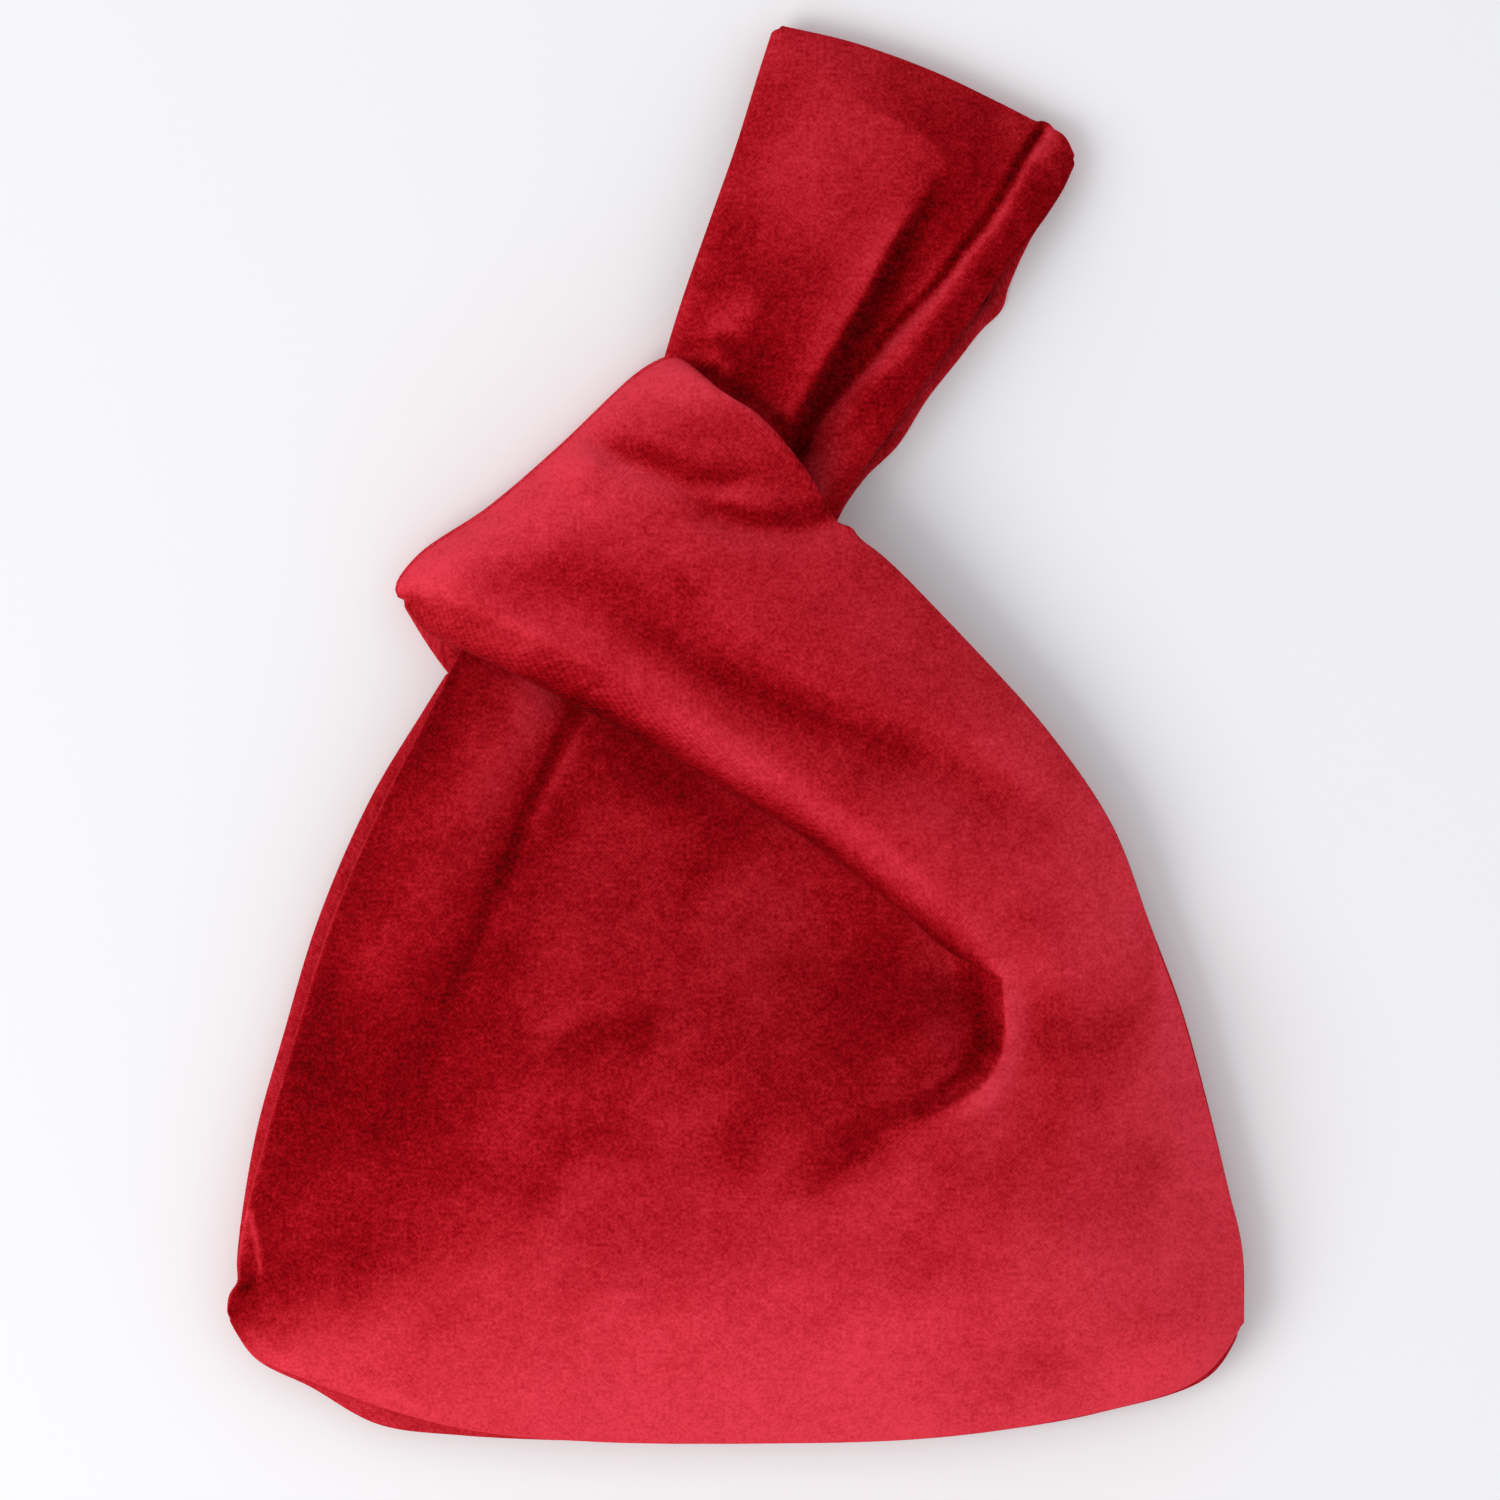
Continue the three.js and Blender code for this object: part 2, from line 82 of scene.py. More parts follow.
def spots(points):
    """Places on the cloth: photograph pixels across and down, and millimetres above the table."""
    across, down, up = np.array(points, float).T
    return np.stack([low.x + (across - BAG_LEFT) * metres_across,
                     high.y - (down - BAG_TOP) * metres_down, up * MM], axis=-1)


SENSOR = 36
CAMERA_RISE = 1.5
OUTLINE_HEIGHT = 10
middle = spots([(PICTURE / 2, PICTURE / 2, OUTLINE_HEIGHT)])[0]
camera_data = bpy.data.cameras.new("overhead_camera")
camera_data.sensor_width = SENSOR
camera_data.lens = SENSOR * CAMERA_RISE / (PICTURE * metres_across)
camera = bpy.data.objects.new("overhead_camera", camera_data)
camera.location = (middle[0], middle[1], middle[2] + CAMERA_RISE)
bpy.context.scene.collection.objects.link(camera)
bpy.context.scene.camera = camera
bpy.context.scene.view_settings.view_transform = "Standard"

TABLE_HALF = 4.0
table_mesh = bmesh.new()
bmesh.ops.create_grid(table_mesh, x_segments=1, y_segments=1, size=TABLE_HALF)
table_data = bpy.data.meshes.new("table_top")
table_mesh.to_mesh(table_data)
table_mesh.free()
table_top = bpy.data.objects.new("table_top", table_data)
bpy.context.scene.collection.objects.link(table_top)
table_finish = bpy.data.materials.new("matt_white_sheet")
table_finish.use_nodes = True
table_shader = table_finish.node_tree.nodes["Principled BSDF"]
table_shader.inputs["Base Color"].default_value = (0.92, 0.92, 0.935, 1)
table_shader.inputs["Roughness"].default_value = 0.9
table_shader.inputs["Specular IOR Level"].default_value = 0.1
table_data.materials.append(table_finish)

world = bpy.data.worlds.new("soft_room")
world.use_nodes = True
room = world.node_tree.nodes["Background"]
room.inputs["Color"].default_value = (0.97, 0.98, 1.0, 1)
room.inputs["Strength"].default_value = 0.72
bpy.context.scene.world = world

WINDOW_SIZE = 1.1
WINDOW_PLACE = (-1.05, -0.55, 1.15)
window_light = bpy.data.lights.new("soft_window", "AREA")
window_light.size = WINDOW_SIZE
window_light.energy = 13
window_light.color = (1.0, 0.985, 0.965)
window = bpy.data.objects.new("soft_window", window_light)
window.location = WINDOW_PLACE
window.rotation_mode = "QUATERNION"
window.rotation_quaternion = (-window.location).to_track_quat("-Z", "Y")
bpy.context.scene.collection.objects.link(window)


# Front cloth: one cut of red velvet that is the pouch's front and, on the right, runs up into the short
# handle. The short handle is laid over to the upper left, so its inner edge makes the soft roll. The cloth
# is sewn to the back one at both sides and along the bottom, and hemmed everywhere else.
def smooth_line(points, steps=16):
    """A smooth line through the points, with that many short steps from each to the next."""
    ends = [2 * points[0] - points[1]], [2 * points[-1] - points[-2]]
    knots = np.vstack([ends[0], points, ends[1]])
    times = np.concatenate([[0], np.cumsum(np.linalg.norm(np.diff(knots, axis=0), axis=1) ** 0.5)])
    pieces = []
    for i in range(1, len(knots) - 2):
        t0, t1, t2, t3 = times[i - 1:i + 3]
        p0, p1, p2, p3 = knots[i - 1:i + 3]
        t = np.linspace(t1, t2, steps, endpoint=False)[:, None]
        a = p0 + (p1 - p0) * (t - t0) / (t1 - t0)
        b = p1 + (p2 - p1) * (t - t1) / (t2 - t1)
        c = p2 + (p3 - p2) * (t - t2) / (t3 - t2)
        ab = a + (b - a) * (t - t0) / (t2 - t0)
        bc = b + (c - b) * (t - t1) / (t3 - t1)
        pieces.append(ab + (bc - ab) * (t - t1) / (t2 - t1))
    return np.vstack([*pieces, points[-1:]])


def along(line, share):
    """Points at shares of a line's length."""
    lengths = np.concatenate([[0], np.cumsum(np.linalg.norm(np.diff(line, axis=0), axis=1))])
    where = np.clip(share, 0, 1) * lengths[-1]
    return np.stack([np.interp(where, lengths, line[:, k]) for k in range(line.shape[1])], axis=-1)


def edge(points):
    """An edge of a cloth through places on it, as a function of the share of its length."""
    line = smooth_line(spots(points))
    return lambda share: along(line, share)


def stretched(start, end, left, right, u, v):
    """The cloth between four edges: start and end run left to right, left and right from start to end."""
    across, up = u[None, :, None], v[:, None, None]
    s, e, l, r = start(u), end(u), left(v), right(v)
    corners = ((1 - across) * (1 - up) * s[0] + across * (1 - up) * s[-1]
               + (1 - across) * up * e[0] + across * up * e[-1])
    return ((1 - up) * s + up * e + (1 - across) * l[:, None] + across * r[:, None]) - corners


def rise(distance, share):
    """0 at an edge and 1 from that share of the cloth on, steepest at the edge."""
    way = np.clip(distance / share, 0, 1) if share else np.ones_like(distance)
    return way * (2 - way)


def swell(distance, share):
    """0 at an edge and 1 from that share of the cloth on, level at both ends."""
    way = np.clip(distance / share, 0, 1)
    return way * way * (3 - 2 * way)


# What keeps the edges themselves from a division by nothing
LEAST_RISE = 1e-3


def fullness(u, v, left=0, right=0, start=0, end=0, level=None):
    """0 at the edges and 1 where the cloth stands full, by how far in from each edge it rises. From the
    edge named in level it rises without a bend."""
    rises = [rise(u, left)[None, :], (swell if level == "right" else rise)(1 - u, right)[None, :],
             rise(v, start)[:, None], (swell if level == "end" else rise)(1 - v, end)[:, None]]
    shortfall = sum(np.maximum(r, LEAST_RISE) ** -2.0 - 1 for r in rises)
    return 1 / np.sqrt(1 + shortfall)


def drawn(line):
    """A smooth line through photograph pixels, as places on the table seen from above."""
    return smooth_line(spots([(*pixel, 0) for pixel in line]), steps=8)[:, :2]


# A cloth is a grid of points, each with its place, its flat coordinates and its nap with its painted light
# and shade
PLACE, FLAT, NAP_AND_SHADE = slice(0, 3), slice(3, 5), 5
EVEN_NAP_AND_SHADE = 0.5
SKIN = 0.3 * MM


def fold(cloth, line, height, left, right, fade_in=0.3, fade_out=0.3, nap=0):
    """Lifts the cloth into a ridge along a line, or lowers it into a valley, by millimetres, and paints it
    lighter or darker: a painted highlight or painted shade. left and right are how far it reaches on each
    side of the line."""
    path = drawn(line)
    plan = cloth[..., :2]
    steps = np.diff(path, axis=0)
    away = plan[..., None, :] - path[:-1]
    share = np.clip((away * steps).sum(-1) / (steps ** 2).sum(-1), 0, 1)
    away = away - share[..., None] * steps
    nearest = (away ** 2).sum(-1).argmin(-1)[..., None]
    off = np.take_along_axis(away, nearest[..., None], -2)[..., 0, :]
    share = (nearest + np.take_along_axis(share, nearest, -1))[..., 0] / len(steps)
    way = steps[nearest[..., 0]]
    on_left = way[..., 0] * off[..., 1] - way[..., 1] * off[..., 0] > 0
    reach = np.where(on_left, left, right) * MM
    strength = np.exp(-(off ** 2).sum(-1) / reach ** 2)
    if fade_in:
        strength *= swell(share, fade_in)
    if fade_out:
        strength *= swell(1 - share, fade_out)
    cloth[..., 2] += height * MM * strength
    cloth[..., NAP_AND_SHADE] += nap * strength


DAB = np.array([8, -6])
STROKE_FADE = 0.3


def shaded(cloth, strokes):
    """Paints light and shade onto a cloth along lines: each has its points, its reach left and right, and how
    much lighter or darker it is painted. A line of one point is a dab, and only a line of three or more fades
    at its ends."""
    for line, left, right, nap in strokes:
        if len(line) == 1:
            line = [line[0] - DAB, line[0] + DAB]
        fade = 0 if len(line) == 2 else STROKE_FADE
        fold(cloth, line, 0, left, right, fade_in=fade, fade_out=fade, nap=nap)


def gathered(count, start=0, end=1):
    """Shares from start to end, closer together towards both."""
    t = np.linspace(0, 1, count + 1)
    return start + (end - start) * (0.5 * t + 0.25 * (1 - np.cos(math.pi * t)))


def directions(cloth):
    """The unit normals of a cloth's grid."""
    across = np.gradient(cloth, axis=1)
    up = np.gradient(cloth, axis=0)
    normal = np.cross(across, up)
    return normal / np.linalg.norm(normal, axis=-1, keepdims=True)


SHADE_TURN = 1.2


def hem(cloth, side, out, down, turn=100, tuck=4, steps=6, outside=1, upright=False, nap=0):
    """The strip by which one edge of a cloth turns under: round by turn degrees, out and down millimetres
    wide and deep, then straight on by tuck. It turns away from the cloth's slope, or from the level when it
    is upright. The nap and shade, one value or one for each point of the rim, paints it lighter or darker, as
    painted light and shade, over the first part of the bend and on."""
    def faced(grid):
        return {"start": grid, "end": grid[::-1], "left": grid.swapaxes(0, 1),
                "right": grid.swapaxes(0, 1)[::-1]}[side]

    rim, inner = faced(cloth)[:2]
    normal = np.array([0.0, 0.0, outside]) if upright else faced(directions(cloth[..., PLACE]))[0] * outside
    away = np.cross(np.gradient(rim[:, PLACE], axis=0), normal)
    away *= np.sign((away * (rim - inner)[:, PLACE]).sum())
    away /= np.linalg.norm(away, axis=-1, keepdims=True)
    flat = rim[:, FLAT] - inner[:, FLAT]
    flat /= np.linalg.norm(flat, axis=-1, keepdims=True)
    share = np.linspace(0, 1, len(rim))[:, None]
    out, down = out(share) * MM, down(share) * MM
    tuck = tuck * MM * out / out.max()
    rows, length = [rim], 0
    angles = np.radians(np.linspace(0, turn, steps + 1)[1:])
    for angle in angles:
        place = rim[:, PLACE] + away * out * np.sin(angle) - normal * down * (1 - np.cos(angle)) / 2
        length = length + np.linalg.norm(place - rows[-1][:, PLACE], axis=-1, keepdims=True)
        shade = rim[:, NAP_AND_SHADE:] + nap * swell(angle, SHADE_TURN)
        rows.append(np.hstack([place, rim[:, FLAT] + flat * length, shade]))
    place = rows[-1][:, PLACE] + (math.cos(angles[-1]) * away - math.sin(angles[-1]) * normal) * tuck
    rows.append(np.hstack([place, rows[-1][:, FLAT] + flat * tuck, rows[-1][:, NAP_AND_SHADE:]]))
    return np.array(rows)


def eased(size, start=0.02, end=0.02, least=0.05):
    """A hem's size in millimetres that shrinks towards the corners at its start and end."""
    return lambda share: least + (size - least) * rise(share, start) * rise(1 - share, end)


def cut(cloth):
    """Gives a cloth its flat coordinates, taken from above where it lies nearly level, and an even nap, with
    no painted light or shade yet.
    """
    return np.concatenate([cloth, cloth[..., :2], np.full(cloth.shape[:2] + (1,), EVEN_NAP_AND_SHADE)], axis=-1)


# Each wave has its length and height in millimetres and the level of the noise that it is cut from
WAVES = ((28, 0.9, 1), (10, 0.35, 2))


def crumple(cloth):
    """Small soft unevenness all over a cloth."""
    for length, height, level in WAVES:
        for spot in cloth.reshape(-1, cloth.shape[-1]):
            place = Vector((*spot[FLAT] / (length * MM), level))
            spot[2] += noise.noise(place) * height * MM


def woven(mesh, cloth):
    """Adds a cloth to a bmesh as a grid of faces that carries its flat coordinates and its nap with its
    painted light and shade.
    """
    rows, columns = cloth.shape[:2]
    flat = mesh.loops.layers.uv.get("cloth") or mesh.loops.layers.uv.new("cloth")
    nap = mesh.verts.layers.float.get("nap") or mesh.verts.layers.float.new("nap")
    before = len(mesh.verts)
    bmesh.ops.create_grid(mesh, x_segments=columns - 1, y_segments=rows - 1, size=1)
    mesh.verts.ensure_lookup_table()
    where = {}
    for vertex in mesh.verts[before:]:
        spot = cloth[round((vertex.co.y + 1) / 2 * (rows - 1)), round((vertex.co.x + 1) / 2 * (columns - 1))]
        vertex.co = (*spot[:2], max(spot[2], SKIN))
        vertex[nap] = spot[NAP_AND_SHADE]
        where[vertex] = spot[FLAT]
    for face in {face for vertex in where for face in vertex.link_faces}:
        face.smooth = True
        for loop in face.loops:
            loop[flat].uv = where[loop.vert]


# Half a stitch's length, breadth and depth in millimetres, and the mark that its thread has in the nap
STITCH = Matrix.Diagonal((1.1, 0.28, 0.28, 1))
STITCHED = 1
WELD = 0.02 * MM


def sewn(name, cloths, moves, nodes, slot, finish, thickness, outside=1, stitches=(), smoothed=None):
    """Makes a piece of the bag from its cloths, joined where their edges meet. moves is its body, or two
    bodies and where it bends between them. outside is 1 when its good side faces up and -1 when down.
    stitches are short threads, each with its place and the way it runs. smoothed is a line on the cloth,
    how many millimetres of cloth about it lie smooth, and how often they are smoothed."""
    mesh = bmesh.new()
    for cloth in cloths:
        woven(mesh, cloth)
    for place, way in stitches:
        turned = Matrix.Translation(place) @ Vector(way).to_track_quat("X", "Z").to_matrix().to_4x4()
        thread = bmesh.ops.create_uvsphere(mesh, u_segments=8, v_segments=6, radius=MM,
                                           matrix=turned @ STITCH)
        for vertex in thread["verts"]:
            vertex[mesh.verts.layers.float["nap"]] = STITCHED
            for face in vertex.link_faces:
                face.smooth = True
    bmesh.ops.remove_doubles(mesh, verts=mesh.verts, dist=WELD)
    if smoothed:
        line, reach, times = smoothed
        path = drawn(line)
        near = [vertex for vertex in mesh.verts
                if np.linalg.norm(path - vertex.co.xy, axis=1).min() < reach * MM]
        for _ in range(times):
            bmesh.ops.smooth_vert(mesh, verts=near, factor=0.5, use_axis_z=True)
    mesh.normal_update()
    bmesh.ops.recalc_face_normals(mesh, faces=mesh.faces)
    mesh.normal_update()
    if sum(face.normal.z * face.calc_area() for face in mesh.faces) * outside < 0:
        bmesh.ops.reverse_faces(mesh, faces=mesh.faces)
    data = bpy.data.meshes.new(name)
    mesh.to_mesh(data)
    mesh.free()
    piece = bpy.data.objects.new(name, data)
    bpy.context.scene.collection.objects.link(piece)
    solid = piece.modifiers.new("cloth_thickness", "SOLIDIFY")
    solid.thickness = thickness * MM
    solid.offset = -1
    data.materials.append(finish)
    if isinstance(moves, str):
        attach(piece, moves)
    else:
        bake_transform(piece, *moves)
    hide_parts(*nodes)


SHADE_SPAN = 0.45


def brushed(cloth, lit_way, strength):
    """The cloth painted with light and shade by slope: lighter on slopes that face the given way and darker
    on those that face back, and eased so that it stays within a set span of an even nap."""
    cloth = cloth.copy()
    facing = directions(cloth[..., PLACE])
    facing *= np.sign(facing[..., 2:].mean())
    nap = cloth[..., NAP_AND_SHADE] - EVEN_NAP_AND_SHADE + strength * (facing[..., :2] * lit_way).sum(-1)
    cloth[..., NAP_AND_SHADE] = EVEN_NAP_AND_SHADE + SHADE_SPAN * np.tanh(nap / SHADE_SPAN)
    return cloth


def wired(nodes, kind, values=(), **settings):
    """Adds a node with its settings, and a value or a socket for each of its named or numbered inputs."""
    node = nodes.new(kind)
    for name, value in settings.items():
        setattr(node, name, value)
    for name, value in dict(values).items():
        if isinstance(value, bpy.types.NodeSocket):
            node.id_data.links.new(value, node.inputs[name])
        else:
            node.inputs[name].default_value = value
    return node


def reckoned(nodes, operation, *values):
    """What a math node makes of numbers and sockets."""
    return wired(nodes, "ShaderNodeMath", enumerate(values), operation=operation).outputs[0]


# From the darkest painted shade through the velvet's own red in the middle to the lightest painted highlight
NAP_AND_SHADE_COLOURS = [
    (0.0, (0.075, 0.0002, 0.0010)), (0.2, (0.200, 0.0006, 0.0026)), (0.35, (0.300, 0.0026, 0.0062)),
    (0.5, (0.415, 0.0078, 0.0148)), (0.7, (0.550, 0.0190, 0.0330)), (1.0, (0.770, 0.0430, 0.0710))]
# Mottling, from soft patches down to tufts: how fine each noise is, and how far it moves the nap
MOTTLING = ((70, 0.26), (420, 0.34), (1400, 0.66))
WALE_SCALE, WALE_SHARE = 780.0, 0.09


def pile_group():
    """Velvet's pile: from the nap with its painted light and shade, and the cloth's flat coordinates, to a
    colour and a height.
    """
    group = bpy.data.node_groups.new("velvet_pile", "ShaderNodeTree")
    for name, kind in (("Cloth", "Vector"), ("Nap_and_shade", "Float")):
        group.interface.new_socket(name, in_out="INPUT", socket_type="NodeSocket" + kind)
    for name, kind in (("Color", "Color"), ("Height", "Float")):
        group.interface.new_socket(name, in_out="OUTPUT", socket_type="NodeSocket" + kind)
    nodes = group.nodes
    given = nodes.new("NodeGroupInput").outputs
    handed = nodes.new("NodeGroupOutput")
    nap = given["Nap_and_shade"]
    for scale, share in MOTTLING:
        blotch = wired(nodes, "ShaderNodeTexNoise", {"Vector": given["Cloth"], "Scale": scale, "Detail": 2.0})
        change = reckoned(nodes, "SUBTRACT", blotch.outputs["Fac"], 0.5)
        nap = reckoned(nodes, "MULTIPLY_ADD", change, share, nap)
    wale = wired(nodes, "ShaderNodeTexWave",
                 {"Vector": given["Cloth"], "Scale": WALE_SCALE, "Distortion": 0.6},
                 bands_direction="DIAGONAL")
    nap = reckoned(nodes, "MULTIPLY_ADD", wale.outputs["Fac"], WALE_SHARE, nap)
    shades = wired(nodes, "ShaderNodeValToRGB", {"Fac": nap})
    steps = shades.color_ramp.elements
    for step in range(len(NAP_AND_SHADE_COLOURS) - 2):
        steps.new(0.5)
    for step, (position, colour) in zip(steps, NAP_AND_SHADE_COLOURS):
        step.position = position
        step.color = (*colour, 1)
    group.links.new(shades.outputs["Color"], handed.inputs["Color"])
    group.links.new(nap, handed.inputs["Height"])
    return group


def velvet_finish(pile):
    """Red velvet: the pile's colour with its painted light and shade, a soft bump of its tufts and a red
    sheen at grazing angles.
    """
    material = bpy.data.materials.new("red_velvet")
    material.use_nodes = True
    nodes = material.node_tree.nodes
    shader = nodes["Principled BSDF"]
    cloth = wired(nodes, "ShaderNodeUVMap", uv_map="cloth")
    nap = wired(nodes, "ShaderNodeAttribute", attribute_name="nap")
    group = wired(nodes, "ShaderNodeGroup", node_tree=pile)
    links = material.node_tree.links
    links.new(cloth.outputs["UV"], group.inputs["Cloth"])
    links.new(nap.outputs["Fac"], group.inputs["Nap_and_shade"])
    bump = wired(nodes, "ShaderNodeBump",
                 {"Strength": 0.2, "Distance": 0.0006, "Height": group.outputs["Height"]})
    links.new(group.outputs["Color"], shader.inputs["Base Color"])
    links.new(bump.outputs["Normal"], shader.inputs["Normal"])
    shader.inputs["Roughness"].default_value = 0.9
    shader.inputs["Specular IOR Level"].default_value = 0.02
    shader.inputs["Sheen Weight"].default_value = 0.22
    shader.inputs["Sheen Roughness"].default_value = 0.18
    shader.inputs["Sheen Tint"].default_value = (1.0, 0.12, 0.18, 1)
    return material


# The record's slot, the finish and the thickness in millimetres
VELVET = ("velvet", velvet_finish(pile_group()), 1.1)

# The top edge lies under the roll up to the slit's end, and from there the short handle grows on it
SLIT_END = 0.75
UNDER_COLUMNS, SLIT_COLUMNS, POUCH_ROWS = 160, 64, 140
front_bottom = edge([(230, 1318, 10.6), (252, 1352, 10.4), (318, 1381, 10), (390, 1408, 9.8),
                     (460, 1427, 9.6), (600, 1440, 9.5), (750, 1442, 9.5), (900, 1439, 9.5),
                     (1000, 1429, 9.6), (1100, 1411, 9.9), (1208, 1375, 10.4), (1241, 1325, 11)])
front_left = edge([(230, 1318, 10.6), (233, 1300, 11), (242, 1284, 11.3), (243, 1262, 11.8),
                   (251, 1215, 12.2), (273, 1130, 12.8), (299, 1040, 13.4), (337, 920, 13.6),
                   (389, 800, 13.2), (434, 712, 11.6), (466, 648, 9.2), (477, 630, 8.5)])
right_side = edge([(1241, 1325, 11), (1239, 1250, 11.6), (1225, 1190, 12.2), (1203, 1100, 12.4),
                   (1178, 1010, 12.4), (1149, 932, 12.4)])
under_roll = edge([(477, 630, 8.5), (547, 655, 12), (605, 689, 15), (703, 751, 18), (784, 799, 20),
                   (882, 861, 22), (940, 906, 23.5), (977, 939, 25.5), (1000, 975, 27)])
slit_to_side = edge([(1000, 975, 27), (1060, 968, 25), (1110, 953, 19.5), (1149, 932, 12.4)])


def front_top(share):
    """The top edge of the front, in its two parts."""
    return np.where((share < SLIT_END)[:, None], under_roll(share / SLIT_END),
                    slit_to_side((share - SLIT_END) / (1 - SLIT_END)))


def softened(grid, v, reach=14, start=0.62, end=0.97):
    """Rounds the bend that the slit's end would press into the cloth below it: fully up to the share start
    and no more from the share end on. reach is how many columns on each side it takes in."""
    kernel = np.hanning(2 * reach + 3)[1:-1, None, None]
    before = 2 * grid[:, :1] - grid[:, reach:0:-1]
    after = 2 * grid[:, -1:] - grid[:, -2:-reach - 2:-1]
    wide = np.concatenate([before, grid, after], axis=1).swapaxes(0, 1)
    soft = sum(kernel[i] * wide[i:i + grid.shape[1]] for i in range(2 * reach + 1)) / kernel.sum()
    kept = swell(v - start, end - start)[:, None, None]
    return kept * grid + (1 - kept) * soft.swapaxes(0, 1)


pouch_u = np.concatenate([gathered(UNDER_COLUMNS, 0, SLIT_END)[:-1],
                          np.linspace(SLIT_END, 1, SLIT_COLUMNS + 1)])
pouch_v = gathered(POUCH_ROWS)
BELLY_CROWN = 20.5
front = stretched(front_bottom, front_top, front_left, right_side, pouch_u, pouch_v)
front = cut(softened(front, pouch_v))
front[..., 2] += BELLY_CROWN * MM * fullness(pouch_u, pouch_v, left=0.4, right=0.36, start=0.36, end=0.6,
                                             level="end")


hollow_floor = [(720, 850), (830, 935), (925, 1020)]
hollow_wall = [(905, 908), (942, 950), (965, 995), (970, 1030), (956, 1060), (922, 1082), (870, 1102),
               (810, 1124)]
hollow_crest = [(978, 940), (999, 985), (1004, 1020), (1000, 1048), (985, 1075), (952, 1098), (888, 1124)]
hollow_shades = [
    # Painted shade inside the hollow
    ([(880, 905), (920, 940), (955, 975)], 4, 5, -0.12),
    ([(915, 950), (935, 1000), (920, 1045), (880, 1075)], 6, 6, -0.2),
    ([(935, 912), (964, 960), (976, 1005), (974, 1042), (954, 1070), (910, 1090), (850, 1112)], 1.5, 9, -0.1),
    ([(850, 1000)], 9, 9, 0.06),
    ([(850, 1105)], 7, 7, -0.12),
    # Painted highlight on the crest of its wall
    ([(994, 985), (1002, 1025), (992, 1060), (960, 1085), (915, 1100)], 1.5, 1.5, 0.22),
    ([(992, 1036), (974, 1058), (940, 1082), (886, 1102)], 3, 3, 0.3),
    # Painted light and shade on the cloth round it
    ([(780, 1215), (880, 1170), (960, 1130), (1030, 1070), (1050, 1010), (1045, 950)], 9, 9, 0.16),
    ([(800, 1190), (900, 1178)], 5, 5, 0.1),
    ([(1040, 1120)], 9, 9, 0.08),
    ([(1050, 950)], 12, 12, -0.06),
    ([(1080, 1035)], 7, 7, -0.08),
]


def hollow(cloth):
    """The hollow that the roll pulls under itself, and its steep wall round the end of the slit, with painted
    shade inside it and a painted highlight on the wall's crest.
    """
    fold(cloth, hollow_floor, -4.5, left=12, right=17, fade_in=0.5, fade_out=0.4)
    fold(cloth, hollow_wall, -4.8, left=3.2, right=8, fade_in=0.25, fade_out=0.6)
    fold(cloth, hollow_crest, 1.3, left=3, right=1.3, nap=0.25)
    shaded(cloth, hollow_shades)


hollow(front)
# The pleat on the left, the full crest beside it, a shallow dip nearer the side and a short crease, each
# painted darker in its hollow as painted shade or lighter on its crest as a painted highlight
left_pleat = [(574, 694), (548, 752), (522, 806), (496, 877), (468, 939), (436, 1019), (412, 1096)]
pleat_crest = [(490, 676), (440, 780), (398, 880), (352, 990)]
side_dip = [(400, 800), (350, 910), (312, 1010), (280, 1130)]
short_crease = [(533, 1050), (594, 1019), (665, 1004)]
fold(front, left_pleat, -3.4, left=1.8, right=7, fade_in=0, fade_out=0.7, nap=-0.12)
fold(front, pleat_crest, 1.6, left=7, right=10, nap=0.08)
fold(front, side_dip, -1.0, left=6, right=8, nap=-0.06)
fold(front, short_crease, -0.9, left=4, right=5, nap=-0.1)
